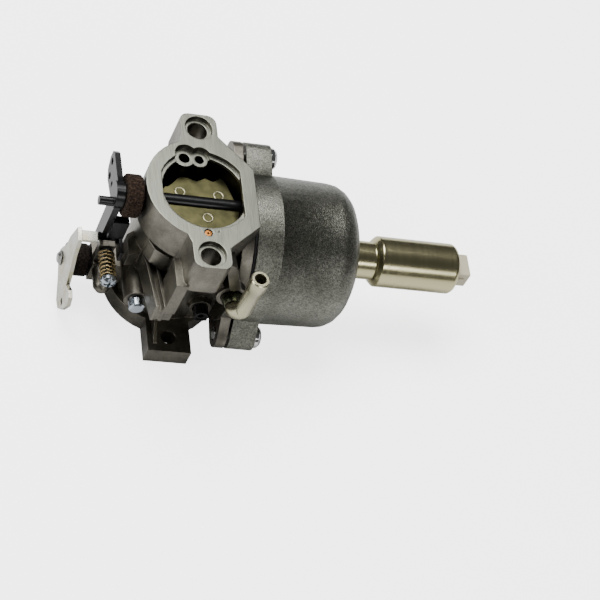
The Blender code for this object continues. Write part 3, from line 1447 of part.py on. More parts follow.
def fuel_tube(start_y):
    """A steel tube: a spigot in the plug, a bend, a straight run and a bead for the fuel hose."""
    bend = FUEL_TUBE_BEND
    centre = (FUEL_TUBE_Y + bend, INLET_PLUG_Z + bend)
    bead_start = FUEL_TUBE_TOP_Z - FUEL_TUBE_BEAD_LENGTH
    route = [(start_y, INLET_PLUG_Z, FUEL_TUBE_SPIGOT_RADIUS)]
    route += [(y, z, FUEL_TUBE_RADIUS) for y, z in arc(centre, bend, 270, 180, 7)]
    route[1] = (*route[1][:2], FUEL_TUBE_SPIGOT_RADIUS)
    route += [
        (FUEL_TUBE_Y, bead_start, FUEL_TUBE_RADIUS),
        (FUEL_TUBE_Y, bead_start + 0.8 * MM, FUEL_TUBE_BEAD_RADIUS),
        (FUEL_TUBE_Y, FUEL_TUBE_TOP_Z - 0.4 * MM, FUEL_TUBE_BEAD_RADIUS),
        (FUEL_TUBE_Y, FUEL_TUBE_TOP_Z, FUEL_TUBE_BEAD_RADIUS - 0.4 * MM),
    ]
    centres = []
    for y, z, _ in route:
        risen = min(1.0, (z - INLET_PLUG_Z) / bend)
        centres.append(Vector((INLET_PLUG_X + FUEL_TUBE_SIDE * risen, y, z)))
    mesh_data = bmesh.new()
    outer = swept_tube(mesh_data, centres, [radius for _, _, radius in route], 20)
    inner = swept_tube(mesh_data, centres, [FUEL_TUBE_BORE_RADIUS] * len(route), 20)
    bridge(mesh_data, outer[0], inner[0])
    bridge(mesh_data, outer[-1], inner[-1])
    return object_from("fuel_inlet_tube", mesh_data, YELLOW_ZINC)


def idle_port():
    depth = 4 * MM
    loop = (
        (-depth, 0.45 * MM),
        (-depth, IDLE_PORT_RADIUS),
        (-0.4 * MM, IDLE_PORT_RADIUS),
        (-0.4 * MM, 0.45 * MM),
    )
    hollow_turned("idle_port_bush", loop, Z_AXIS, IDLE_PORT_TOP, BRASS, steps=14)


def vent_stub():
    """The black breather stub under the bowl side, with a bore through its visible end."""
    end = -VENT_END_Y
    loop = (
        (13 * MM, 1.2 * MM),
        (13 * MM, VENT_RADIUS),
        (end, VENT_RADIUS),
        (end, VENT_RADIUS - 0.6 * MM),
        (end - 0.5 * MM, VENT_RADIUS - 0.6 * MM),
        (end - 0.5 * MM, 1.2 * MM),
    )
    hollow_turned("vent_stub", loop, -Y_AXIS, (VENT_X, 0, VENT_Z), BLACK_PLASTIC, steps=20)


def main():
    clear_scene()
    body_casting()
    float_bowl()
    bowl_gasket()
    bowl_screws()
    main_nozzle()
    main_jet()
    pilot_jet()
    needle_parts()
    float_parts()
    solenoid_parts()
    throttle_lever()
    throttle_plate()
    foam_seal(
        "throttle_foam_seal",
        THROTTLE_FOAM_X,
        THROTTLE_FOAM_RADIUS,
        THROTTLE_FOAM_LENGTH,
        THROTTLE_SHAFT_RADIUS,
        THROTTLE_Z,
    )
    choke_parts()
    foam_seal(
        "choke_foam_seal",
        CHOKE_FOAM_X,
        CHOKE_FOAM_RADIUS,
        CHOKE_FOAM_LENGTH,
        CHOKE_SHAFT_RADIUS,
        CHOKE_HEIGHT,
    )
    idle_speed_screw()
    mixture_screw()
    fuel_inlet()
    idle_port()
    vent_stub()


main()
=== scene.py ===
# %% [markdown]
# # A float-bowl carburettor on a studio table
#
# The solid model of the carburettor already exists as plain facets. This notebook gives it its
# looks: rounded edges, coiled springs, sponge seals, cast grain and polished plating. Nothing here
# moves a solid part. Every new piece rides on the body of the part it stands for, so the throttle
# and the choke still turn.

import json
import math

import bmesh
import bpy
import numpy as np
from mathutils import Matrix, Vector


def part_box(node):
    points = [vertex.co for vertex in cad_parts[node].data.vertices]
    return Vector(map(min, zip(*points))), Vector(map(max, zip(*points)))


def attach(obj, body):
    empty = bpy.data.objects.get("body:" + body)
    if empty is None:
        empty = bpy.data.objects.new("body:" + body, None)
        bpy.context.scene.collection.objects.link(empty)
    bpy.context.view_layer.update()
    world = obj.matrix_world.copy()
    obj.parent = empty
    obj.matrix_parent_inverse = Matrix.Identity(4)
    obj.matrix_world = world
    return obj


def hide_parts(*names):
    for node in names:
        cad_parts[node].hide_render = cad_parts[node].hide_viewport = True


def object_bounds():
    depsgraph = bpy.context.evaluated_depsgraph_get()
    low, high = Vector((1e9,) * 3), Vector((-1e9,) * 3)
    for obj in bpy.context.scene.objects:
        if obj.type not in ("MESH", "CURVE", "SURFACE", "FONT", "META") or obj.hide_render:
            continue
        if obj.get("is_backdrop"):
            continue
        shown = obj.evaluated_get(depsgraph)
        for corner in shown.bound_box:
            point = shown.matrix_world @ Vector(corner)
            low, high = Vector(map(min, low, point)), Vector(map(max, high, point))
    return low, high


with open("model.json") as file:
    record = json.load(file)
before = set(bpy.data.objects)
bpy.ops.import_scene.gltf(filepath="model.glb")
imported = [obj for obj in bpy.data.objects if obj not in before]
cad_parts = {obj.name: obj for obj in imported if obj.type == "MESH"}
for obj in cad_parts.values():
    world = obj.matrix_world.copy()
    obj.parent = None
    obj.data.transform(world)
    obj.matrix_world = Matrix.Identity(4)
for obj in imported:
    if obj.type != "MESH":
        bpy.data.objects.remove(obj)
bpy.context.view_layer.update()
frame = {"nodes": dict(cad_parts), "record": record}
MM = 0.001

# %% [markdown]
# ## The camera
#
# A long lens from above and to one side shows the engine flange, the bowl and the levers at once.
# A camera can be aimed with a constraint, or by its own axes. The axes are written out here,
# because they hold the tilt of the picture as well as its direction.

# %% Set up the camera
CAMERA_PLACE = Vector((-0.2314, -0.46577, 0.6651))
CAMERA_RIGHT = Vector((0.93725725, -0.11437182, 0.32934471))
CAMERA_UP = Vector((-0.08961633, 0.83388393, 0.54461592))
CAMERA_BACK = Vector((-0.33692397, -0.53995988, 0.77131418))

camera = bpy.data.objects.new("camera", bpy.data.cameras.new("camera"))
camera.data.sensor_width = 36
camera.data.lens = 130.5
camera.data.clip_start = 0.01
turn = Matrix((CAMERA_RIGHT, CAMERA_UP, CAMERA_BACK)).transposed().to_4x4()
camera.matrix_world = Matrix.Translation(CAMERA_PLACE) @ turn
bpy.context.scene.collection.objects.link(camera)
bpy.context.scene.camera = camera

# %% [markdown]
# ## Wiring shader nodes
#
# A material is a small network. Written out link by link it is long, so `wire` adds one node and
# fills its sockets in one go: a value goes into a socket, and another node's output is linked.

# %% A helper that adds and links one shader node
def wire(tree, kind, sockets=None, **settings):
    made = tree.nodes.new(kind)
    for name, value in settings.items():
        setattr(made, name, value)
    for name, value in (sockets or {}).items():
        if isinstance(value, bpy.types.NodeSocket):
            tree.links.new(value, made.inputs[name])
        else:
            made.inputs[name].default_value = value
    return made


def ramp(tree, factor, stops):
    """A colour ramp through (position, colour) stops."""
    made = wire(tree, "ShaderNodeValToRGB", {"Fac": factor})
    elements = made.color_ramp.elements
    while len(elements) < len(stops):
        elements.new(0.5)
    for element, (position, colour) in zip(elements, stops):
        element.position = position
        element.color = (*colour, 1)
    return made.outputs["Color"]


def blank_group(name, inputs, outputs):
    """A node group with named sockets: inputs are (name, kind, value), outputs (name, kind)."""
    group = bpy.data.node_groups.new(name, "ShaderNodeTree")
    for label, kind, value in inputs:
        socket = group.interface.new_socket(label, in_out="INPUT", socket_type=f"NodeSocket{kind}")
        if value is not None:
            socket.default_value = value
    for label, kind in outputs:
        group.interface.new_socket(label, in_out="OUTPUT", socket_type=f"NodeSocket{kind}")
    return group, group.nodes.new("NodeGroupInput").outputs, group.nodes.new("NodeGroupOutput")


# %% [markdown]
# ## Grain shared by the castings
#
# Die-cast aluminium is never one grey. It has soft blotches from the mould, a fine grain, and here
# and there a bright or dark speck. All of it is noise at three sizes. The same group serves the
# body and the bowl with other values, so it is built once with named inputs.

# %% Build the cast grain group
def cast_grain_group():
    inputs = [
        ("Position", "Vector", None),
        ("Shade", "Color", (0.3, 0.3, 0.3, 1)),
        ("Light", "Color", (0.5, 0.5, 0.5, 1)),
        ("Grain Size", "Float", 2500.0),
        ("Speck", "Float", 0.5),
    ]
    outputs = [("Color", "Color"), ("Roughness", "Float"), ("Height", "Float")]
    group, given, result = blank_group("cast grain", inputs, outputs)
    blotch = wire(
        group,
        "ShaderNodeTexNoise",
        {"Vector": given["Position"], "Scale": 90.0, "Detail": 4.0, "Roughness": 0.6},
    ).outputs["Fac"]
    fine = wire(
        group,
        "ShaderNodeTexNoise",
        {"Vector": given["Position"], "Scale": given["Grain Size"], "Detail": 3.0},
    ).outputs["Fac"]
    speck = wire(
        group,
        "ShaderNodeTexVoronoi",
        {"Vector": given["Position"], "Scale": given["Grain Size"]},
    ).outputs["Color"]
    spread = wire(
        group,
        "ShaderNodeMapRange",
        {"Value": blotch, "From Min": 0.32, "From Max": 0.68},
    ).outputs["Result"]
    base = wire(
        group,
        "ShaderNodeMix",
        {0: spread, 6: given["Shade"], 7: given["Light"]},
        data_type="RGBA",
    )
    single = wire(group, "ShaderNodeSeparateColor", {"Color": speck}).outputs["Red"]
    level = wire(
        group,
        "ShaderNodeMapRange",
        {"Value": single, "From Min": 0.0, "From Max": 1.0, "To Min": 0.82, "To Max": 1.2},
    ).outputs["Result"]
    strength = wire(
        group,
        "ShaderNodeMath",
        {0: level, 1: 1.0},
        operation="SUBTRACT",
    ).outputs["Value"]
    scaled = wire(
        group,
        "ShaderNodeMath",
        {0: strength, 1: given["Speck"], 2: 1.0},
        operation="MULTIPLY_ADD",
    ).outputs["Value"]
    shaded = wire(
        group,
        "ShaderNodeVectorMath",
        {0: base.outputs[2], "Scale": scaled},
        operation="SCALE",
    ).outputs["Vector"]
    rough = wire(
        group,
        "ShaderNodeMapRange",
        {"Value": fine, "From Min": 0.3, "From Max": 0.7, "To Min": 0.30, "To Max": 0.46},
    ).outputs["Result"]
    group.links.new(shaded, result.inputs["Color"])
    group.links.new(rough, result.inputs["Roughness"])
    group.links.new(fine, result.inputs["Height"])
    return group


cast_grain = cast_grain_group()

# %% [markdown]
# ## Fine scratches shared by the plated and turned parts
#
# Plating over turned steel keeps the marks of the tool: hair-thin lines that run round the axis or
# along one direction. Stretching a noise pattern far along one axis draws such lines. The group
# takes the stretched coordinates, and gives a roughness that varies and a height for a bump.

# %% Build the tool marks group
def tool_marks_group():
    inputs = [
        ("Position", "Vector", None),
        ("Scale", "Float", 900.0),
        ("Smooth", "Float", 0.2),
        ("Rough", "Float", 0.35),
    ]
    outputs = [("Roughness", "Float"), ("Height", "Float")]
    group, given, result = blank_group("tool marks", inputs, outputs)
    lines = wire(
        group,
        "ShaderNodeTexNoise",
        {"Vector": given["Position"], "Scale": given["Scale"], "Detail": 4.0},
    ).outputs["Fac"]
    rough = wire(
        group,
        "ShaderNodeMapRange",
        {
            "Value": lines,
            "From Min": 0.3,
            "From Max": 0.7,
            "To Min": given["Smooth"],
            "To Max": given["Rough"],
        },
    ).outputs["Result"]
    group.links.new(rough, result.inputs["Roughness"])
    group.links.new(lines, result.inputs["Height"])
    return group


tool_marks = tool_marks_group()


# %% [markdown]
# ## Materials
#
# Each finish is one material. `start_material` makes the shader and sets what is the same all over
# on the shader's own sockets, then each recipe adds its pattern. Where two faces meet at a sharp
# line, the Bevel node rounds the light on it, as a real edge is never perfectly sharp.

# %% A start for every material
def start_material(name, colour, roughness, metallic):
    made = bpy.data.materials.new(name)
    made.use_nodes = True
    tree = made.node_tree
    shader = tree.nodes["Principled BSDF"]
    shader.inputs["Base Color"].default_value = (*colour, 1)
    shader.inputs["Roughness"].default_value = roughness
    shader.inputs["Metallic"].default_value = metallic
    place = wire(tree, "ShaderNodeTexCoord").outputs["Object"]
    return made, tree, shader, place


def placed_group(tree, group, sockets):
    """Puts a shared group into a material and fills its sockets."""
    made = wire(tree, "ShaderNodeGroup", None, node_tree=group)
    for name, value in sockets.items():
        if isinstance(value, bpy.types.NodeSocket):
            tree.links.new(value, made.inputs[name])
        else:
            made.inputs[name].default_value = value
    return made.outputs


def bump(tree, height, strength, distance, edge=0.0):
    """A bump from a height, on top of edges rounded by a Bevel node of radius edge."""
    sockets = {"Height": height, "Strength": strength, "Distance": distance}
    if edge:
        soft = wire(tree, "ShaderNodeBevel", {"Radius": edge}, samples=6).outputs["Normal"]
        sockets["Normal"] = soft
    return wire(tree, "ShaderNodeBump", sockets).outputs["Normal"]


def stretched(tree, place, scale, turn_deg=(0, 0, 0)):
    """Coordinates turned and stretched, so that a pattern on them becomes lines."""
    angles = tuple(math.radians(a) for a in turn_deg)
    return wire(
        tree, "ShaderNodeMapping", {"Vector": place, "Rotation": angles, "Scale": scale}
    ).outputs["Vector"]


def colour_mix(tree, factor, first, second):
    made = wire(tree, "ShaderNodeMix", None, data_type="RGBA")
    for number, value in ((0, factor), (6, first), (7, second)):
        if isinstance(value, bpy.types.NodeSocket):
            tree.links.new(value, made.inputs[number])
        elif number:
            made.inputs[number].default_value = (*value, 1)
        else:
            made.inputs[number].default_value = value
    return made.outputs[2]


def number_mix(tree, factor, first, second):
    made = wire(tree, "ShaderNodeMix", None, data_type="FLOAT")
    for number, value in ((0, factor), (2, first), (3, second)):
        if isinstance(value, bpy.types.NodeSocket):
            tree.links.new(value, made.inputs[number])
        else:
            made.inputs[number].default_value = value
    return made.outputs[0]


def between(tree, value, low, high):
    """A mask that is 1 where value lies between low and high."""
    above = wire(tree, "ShaderNodeMath", {0: value, 1: low}, operation="GREATER_THAN")
    below = wire(tree, "ShaderNodeMath", {0: value, 1: high}, operation="LESS_THAN")
    return wire(
        tree,
        "ShaderNodeMath",
        {0: above.outputs["Value"], 1: below.outputs["Value"]},
        operation="MULTIPLY",
    ).outputs["Value"]


# %% [markdown]
# ### The body: cast skin and milled faces
#
# The mould leaves a satin skin. A cutter then skims the engine flange flat and bright, and leaves
# fine arcs. Two materials could be given to different faces, but one material with a mask is
# simpler: the milled face is wherever the surface looks straight up at the flange's own height, or
# at the height of the two idle bosses. Down the bore the colour is painted dark, as painted shade.

# %% Make the body's material
FLANGE_TOP_Z = 64 * MM
BOSS_TOP_Z = 61.3 * MM
# Painted shade: within this radius and below the bosses, the bore's wall is coloured dark brown.
BORE_SHADE_RADIUS = 17.5 * MM
BORE_PAINTED_SHADE = (0.020, 0.017, 0.012)


def body_material():
    made, tree, shader, place = start_material("cast body", (0.4, 0.4, 0.4), 0.45, 1.0)
    grain = placed_group(
        tree,
        cast_grain,
        {
            "Position": place,
            "Shade": (0.090, 0.084, 0.070, 1),
            "Light": (0.185, 0.174, 0.145, 1),
            "Grain Size": 2200.0,
            "Speck": 0.5,
        },
    )
    apart = wire(tree, "ShaderNodeSeparateXYZ", {"Vector": place}).outputs
    normal = wire(tree, "ShaderNodeNewGeometry").outputs["Normal"]
    facing = wire(tree, "ShaderNodeSeparateXYZ", {"Vector": normal}).outputs["Z"]
    high = between(tree, apart["Z"], BOSS_TOP_Z - 0.1 * MM, FLANGE_TOP_Z + 1 * MM)
    level = between(tree, facing, 0.97, 2.0)
    milled = wire(
        tree, "ShaderNodeMath", {0: high, 1: level}, operation="MULTIPLY"
    ).outputs["Value"]
    marks = placed_group(
        tree,
        tool_marks,
        {
            "Position": stretched(tree, place, (1.0, 0.04, 1.0), (0, 0, -28)),
            "Scale": 3600.0,
            "Smooth": 0.30,
            "Rough": 0.40,
        },
    )
    stripes = [(0.3, (0.165, 0.170, 0.140)), (0.7, (0.240, 0.245, 0.205))]
    bright = ramp(tree, marks["Height"], stripes)
    flat = wire(
        tree, "ShaderNodeVectorMath", {0: place, 1: (1.0, 1.0, 0.0)}, operation="MULTIPLY"
    )
    reach = wire(
        tree, "ShaderNodeVectorMath", {0: flat.outputs["Vector"]}, operation="LENGTH"
    ).outputs["Value"]
    # Painted shade: inside the bore and below the bosses, the skin's colour is darkened.
    inside = between(tree, reach, -1.0, BORE_SHADE_RADIUS)
    low_down = between(tree, apart["Z"], -1.0, BOSS_TOP_Z - 0.1 * MM)
    bore_shade_mask = wire(
        tree, "ShaderNodeMath", {0: inside, 1: low_down}, operation="MULTIPLY"
    ).outputs["Value"]
    skin = colour_mix(tree, bore_shade_mask, grain["Color"], BORE_PAINTED_SHADE)
    colour = colour_mix(tree, milled, skin, bright)
    rough = number_mix(tree, milled, grain["Roughness"], marks["Roughness"])
    height = number_mix(tree, milled, grain["Height"], marks["Height"])
    tree.links.new(colour, shader.inputs["Base Color"])
    tree.links.new(rough, shader.inputs["Roughness"])
    tree.links.new(bump(tree, height, 0.12, 0.00012, 0.0004), shader.inputs["Normal"])
    return made


cast_body = body_material()

# %% [markdown]
# ### The bowl: a darker, grainy casting
#
# The bowl is blasted with shot after casting. That leaves tiny dents that sparkle one by one.
# A strong fine bump with bright and dark specks gives that look.

# %% Make the bowl's material
def bowl_material():
    made, tree, shader, place = start_material("blasted bowl", (0.3, 0.3, 0.3), 0.5, 1.0)
    grain = placed_group(
        tree,
        cast_grain,
        {
            "Position": place,
            "Shade": (0.105, 0.106, 0.088, 1),
            "Light": (0.165, 0.166, 0.142, 1),
            "Grain Size": 2300.0,
            "Speck": 2.2,
        },
    )
    tree.links.new(grain["Color"], shader.inputs["Base Color"])
    tree.links.new(grain["Roughness"], shader.inputs["Roughness"])
    tree.links.new(bump(tree, grain["Height"], 0.9, 0.0002, 0.0004), shader.inputs["Normal"])
    return made


blasted_bowl = bowl_material()

# %% [markdown]
# ### Plated, plain and moulded finishes
#
# The other metals differ only in colour, gloss and the direction of their tool marks, so one
# function serves them all.

# %% Make the metal finishes
def plated(name, colour, smooth, rough, stretch, edge=0.0002, strength=0.12, tint=None):
    made, tree, shader, place = start_material(name, colour, smooth, 1.0)
    marks = placed_group(
        tree,
        tool_marks,
        {
            "Position": stretched(tree, place, stretch),
            "Scale": 1500.0,
            "Smooth": smooth,
            "Rough": rough,
        },
    )
    tree.links.new(marks["Roughness"], shader.inputs["Roughness"])
    if tint:
        cloud = wire(
            tree, "ShaderNodeTexNoise", {"Vector": place, "Scale": 160.0, "Detail": 3.0}
        ).outputs["Fac"]
        tree.links.new(
            ramp(tree, cloud, [(0.36, tint), (0.62, colour)]), shader.inputs["Base Color"]
        )
    tree.links.new(bump(tree, marks["Height"], strength, 0.00005, edge), shader.inputs["Normal"])
    return made


ROUND_X = (1.0, 0.03, 0.03)
EVEN = (0.4, 0.4, 0.4)

solenoid_zinc = plated("solenoid zinc", (0.46, 0.43, 0.25), 0.17, 0.26, ROUND_X, edge=0.0)
plate_zinc = plated(
    "plate zinc",
    (0.105, 0.098, 0.045),
    0.28,
    0.36,
    EVEN,
    edge=0.0004,
    strength=0.02,
    tint=(0.06, 0.058, 0.028),
)
tube_zinc = plated("tube zinc", (0.42, 0.40, 0.27), 0.24, 0.36, (1.0, 1.0, 0.05), edge=0.0)
lever_zinc = plated(
    "lever zinc", (0.42, 0.42, 0.38), 0.22, 0.36, EVEN, tint=(0.34, 0.32, 0.22), strength=0.03
)
screw_zinc = plated("screw zinc", (0.36, 0.40, 0.44), 0.16, 0.30, EVEN)
bright_screw = plated("bright screw", (0.50, 0.51, 0.50), 0.10, 0.22, EVEN)
spring_bronze = plated("spring bronze", (0.26, 0.20, 0.10), 0.20, 0.32, EVEN, edge=0.0)
plain_steel = plated("plain steel", (0.25, 0.25, 0.24), 0.25, 0.42, ROUND_X)
brass = plated("brass", (0.55, 0.22, 0.06), 0.2, 0.34, EVEN)
olive_steel = plated(
    "olive steel", (0.12, 0.13, 0.08), 0.22, 0.4, EVEN, tint=(0.05, 0.055, 0.035)
)


# %% [markdown]
# ### Plastic, rubber and foam
#
# The black moulding has a satin skin, and the plug socket is ivory nylon. Foam drinks the light:
# its open cells are deep holes, so a cell pattern darkens the colour and pushes the surface in.

# %% Make the moulded and soft finishes
def moulding(name, colour, roughness, grain_size=1400.0):
    made, tree, shader, place = start_material(name, colour, roughness, 0.0)
    shader.inputs["Specular IOR Level"].default_value = 0.3
    grain = wire(
        tree, "ShaderNodeTexNoise", {"Vector": place, "Scale": grain_size, "Detail": 2.0}
    ).outputs["Fac"]
    tree.links.new(bump(tree, grain, 0.12, 0.0001, 0.0003), shader.inputs["Normal"])
    return made


def foam(name, colour, pit):
    made, tree, shader, place = start_material(name, colour, 0.95, 0.0)
    shader.inputs["Specular IOR Level"].default_value = 0.1
    cells = wire(
        tree, "ShaderNodeTexVoronoi", {"Vector": place, "Scale": 1300.0}
    ).outputs["Distance"]
    cloud = wire(
        tree, "ShaderNodeTexNoise", {"Vector": place, "Scale": 700.0, "Detail": 4.0}
    ).outputs["Fac"]
    mixed = wire(
        tree, "ShaderNodeMath", {0: cells, 1: cloud}, operation="MULTIPLY"
    ).outputs["Value"]
    tree.links.new(ramp(tree, mixed, [(0.1, pit), (0.45, colour)]), shader.inputs["Base Color"])
    tree.links.new(bump(tree, mixed, 0.9, 0.0006), shader.inputs["Normal"])
    return made


black_plastic = moulding("black plastic", (0.003, 0.003, 0.0035), 0.3)
ivory = moulding("ivory nylon", (0.50, 0.46, 0.33), 0.38)
float_plastic = moulding("float plastic", (0.03, 0.03, 0.03), 0.5)
gasket_rubber = moulding("gasket rubber", (0.008, 0.008, 0.008), 0.75)
brown_foam = foam("brown foam", (0.040, 0.025, 0.017), (0.006, 0.004, 0.003))
dark_foam = foam("dark foam", (0.020, 0.015, 0.012), (0.004, 0.003, 0.0025))

# %% [markdown]
# ## Turned and coiled pieces
#
# A lathe makes the solenoid's can, its washer and the seals: one outline goes round an axis. A
# grid of points says the same thing to the computer, one way along the outline and the other way
# round the axis. A real edge is always a little rounded, so the outline's corners are rounded
# first.

# %% Round an outline and turn it
def rounded(outline, radius):
    """Corner P with unit edges a, b becomes the curve (1-t)^2(P+ra) + 2t(1-t)P + t^2(P+rb)."""
    corner = np.asarray(outline, float)
    before, after = np.roll(corner, 1, axis=0) - corner, np.roll(corner, -1, axis=0) - corner
    run_a, run_b = np.linalg.norm(before, axis=1), np.linalg.norm(after, axis=1)
    cut = np.minimum(radius, 0.38 * np.minimum(run_a, run_b))[:, None]
    a, b = before / run_a[:, None], after / run_b[:, None]
    t = np.linspace(0, 1, 6)[None, :, None]
    start, end = (corner + cut * a)[:, None], (corner + cut * b)[:, None]
    curve = (1 - t) ** 2 * start + 2 * t * (1 - t) * corner[:, None] + t**2 * end
    guard_a, guard_b = (corner + 1.25 * cut * a)[:, None], (corner + 1.25 * cut * b)[:, None]
    return np.concatenate([guard_a, curve, guard_b], axis=1).reshape(-1, 2)


def grid_piece(name, points, wrap_rows=True):
    """Quads between neighbours of a grid of points; columns wrap round, and rows too if wanted."""
    rows, columns = points.shape[:2]
    number = np.arange(rows * columns).reshape(rows, columns)
    ahead = np.roll(number, -1, axis=0)
    if not wrap_rows:
        number, ahead = number[:-1], ahead[:-1]
    quads = np.stack([number, ahead, np.roll(ahead, -1, 1), np.roll(number, -1, 1)], axis=-1)
    mesh = bpy.data.meshes.new(name)
    mesh.from_pydata(points.reshape(-1, 3).tolist(), [], quads.reshape(-1, 4).tolist())
    shape = bmesh.new()
    shape.from_mesh(mesh)
    bmesh.ops.remove_doubles(shape, verts=shape.verts, dist=1e-7)
    bmesh.ops.recalc_face_normals(shape, faces=shape.faces)
    shape.to_mesh(mesh)
    shape.free()
    mesh.shade_smooth()
    made = bpy.data.objects.new(name, mesh)
    bpy.context.scene.collection.objects.link(made)
    return made


def turned(name, outline, axis, origin, steps=96):
    """Point (s, r) of the outline goes to origin + s*axis + r*(cos w * side + sin w * other)."""
    axis = np.asarray(axis, float)
    side = np.array([0, 0, 1.0]) if abs(axis[2]) < 0.5 else np.array([1.0, 0, 0])
    other = np.cross(axis, side)
    w = np.linspace(0, 2 * np.pi, steps, endpoint=False)
    along, radius = outline[:, 0, None, None], outline[:, 1, None, None]
    round_it = np.cos(w)[None, :, None] * side + np.sin(w)[None, :, None] * other
    points = np.asarray(origin, float) + along * axis + radius * round_it
    return grid_piece(name, points)


def tube(name, path, radius, steps=48):
    """A ring carried along a path, square to it; a radius of nothing at each end closes it."""
    path = np.asarray(path, float)
    ahead = np.gradient(path, axis=0)
    ahead /= np.linalg.norm(ahead, axis=1)[:, None]
    hint = np.array([1.0, 0.0, 0.0]) if abs(ahead[:, 0]).max() < 0.9 else np.array([0.0, 0.0, 1.0])
    side = np.cross(ahead, hint)
    side /= np.linalg.norm(side, axis=1)[:, None]
    other = np.cross(ahead, side)
    w = np.linspace(0, 2 * np.pi, steps, endpoint=False)[None, :, None]
    ring = np.cos(w) * side[:, None] + np.sin(w) * other[:, None]
    points = path[:, None] + np.broadcast_to(radius, len(path))[:, None, None] * ring
    return grid_piece(name, points, wrap_rows=False)


# %% [markdown]
# ## Smooth copies of the solid parts
#
# The solid model's mesh is loose triangles. A copy with its points merged can be shaded smooth,
# with its real edges marked sharp, and a Bevel modifier can round those edges. A flat face stays
# flat: shaded smooth, it would pick up the slope of its neighbours. The copy then stands in for
# the solid part, and rides on the same body.

# %% Make a copy, merge it and give it its finish
record = frame["record"]
node_body = {name: body for body, names in record["behaviour"]["bodies"].items() for name in names}


def dress(made, node, finish):
    """Gives a piece its finish and lets it stand for a solid node."""
    made.data.materials.clear()
    made.data.materials.append(finish)
    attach(made, node_body[node])
    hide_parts(node)
    return made


FLAT_ANGLE = math.radians(0.5)
MOST_CORNERS_CURVED = 8


def smooth_copy(node, finish, edge=0.0, sharp_deg=32):
    """A merged copy of a node, shaded smooth between edges sharper than sharp_deg."""
    shape = bmesh.new()
    shape.from_mesh(frame["nodes"][node].data)
    bmesh.ops.remove_doubles(shape, verts=shape.verts, dist=2e-6)
    bmesh.ops.dissolve_limit(
        shape, angle_limit=math.radians(0.4), verts=shape.verts, edges=shape.edges
    )
    bmesh.ops.recalc_face_normals(shape, faces=shape.faces)
    curved = []
    for face in shape.faces:
        bends = [edge.calc_face_angle(0.0) for edge in face.edges]
        bent = any(FLAT_ANGLE < bend < math.radians(sharp_deg) for bend in bends)
        curved.append(bent and len(face.verts) <= MOST_CORNERS_CURVED)
    mesh = bpy.data.meshes.new(f"{node}_skin")
    shape.to_mesh(mesh)
    shape.free()
    mesh.set_sharp_from_angle(angle=math.radians(sharp_deg))
    mesh.polygons.foreach_set("use_smooth", curved)
    made = bpy.data.objects.new(f"{node}_skin", mesh)
    bpy.context.scene.collection.objects.link(made)
    if edge:
        bevel = made.modifiers.new("round edges", "BEVEL")
        bevel.width = edge
        bevel.segments = 2
        bevel.limit_method = "ANGLE"
        bevel.angle_limit = math.radians(sharp_deg)
        bevel.harden_normals = True
    return dress(made, node, finish)


COPIES = {
    "body_casting": (cast_body, 0),
    "float_bowl": (blasted_bowl, 0),
    "bowl_gasket": (gasket_rubber, 0),
    "bowl_screw_upper": (bright_screw, 0),
    "bowl_screw_lower": (bright_screw, 0),
    "solenoid_connector": (ivory, 0.3 * MM),
    "connector_blade_upper": (bright_screw, 0.1 * MM),
    "connector_blade_lower": (bright_screw, 0.1 * MM),
    "throttle_shaft_lever": (black_plastic, 0),
    "throttle_plate": (plate_zinc, 0),
    "choke_shaft": (plain_steel, 0),
    "choke_lever": (lever_zinc, 0.15 * MM),
    "choke_plate": (plate_zinc, 0),
    "idle_speed_screw": (screw_zinc, 0),
    "fuel_inlet_plug": (olive_steel, 0),
    "fuel_inlet_tube": (tube_zinc, 0),
    "idle_port_bush": (brass, 0),
    "vent_stub": (black_plastic, 0),
    "idle_mixture_screw": (screw_zinc, 0),
}
for node, (finish, edge) in COPIES.items():
    smooth_copy(node, finish, edge)

# %% [markdown]
# ## The solenoid, its washer and the foam seals
#
# The solenoid's can is turned from steel, with a bevel at each end and a step down to its neck.
# Places and lengths come from the solid model's own boxes, and so follow a change there. The radii
# are written here, so they have to be changed by hand.

# %% Turn the solenoid and the seals
def box_mm(node):
    low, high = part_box(node)
    return 1000 * np.asarray(low), 1000 * np.asarray(high)


def bored(name, node, axis_number, outline, rounding, finish, steps=96):
    """Turns a closed outline, in millimetres from the node's low face along its axis."""
    low, high = box_mm(node)
    origin = (low + high) / 2
    origin[axis_number] = low[axis_number]
    axis = np.eye(3)[axis_number]
    shape = rounded(outline(high[axis_number] - low[axis_number]), rounding)
    return dress(turned(name, shape * MM, axis, origin * MM, steps=steps), node, finish)


CAN_LENGTH, NECK_AND_CAN = 34.0, 44.8
SPIGOT_RADIUS, NECK_RADIUS, CAN_RADIUS = 6.2, 7.4, 9.9
PLUNGER_BORE, WIRE_HOLE, CAN_END_WALL = 3.4, 2.5, 9.0


def can_outline(length):
    """Spigot, neck, step, can and bevel; the last points run back along the bore."""
    neck_start = length - NECK_AND_CAN
    neck_end = length - CAN_LENGTH
    return [
        (0, PLUNGER_BORE),
        (0, SPIGOT_RADIUS),
        (neck_start, SPIGOT_RADIUS),
        (neck_start, NECK_RADIUS),
        (neck_end - 0.6, NECK_RADIUS),
        (neck_end - 0.2, NECK_RADIUS + 1.0),
        (neck_end + 1.4, CAN_RADIUS),
        (length - 1.7, CAN_RADIUS),
        (length - 0.5, CAN_RADIUS - 0.7),
        (length, CAN_RADIUS - 1.9),
        (length, WIRE_HOLE),
        (length - CAN_END_WALL, WIRE_HOLE),
        (length - CAN_END_WALL, PLUNGER_BORE),
    ]


def ring_outline(outer, inner):
    return lambda length: [(0, inner), (0, outer), (length, outer), (length, inner)]


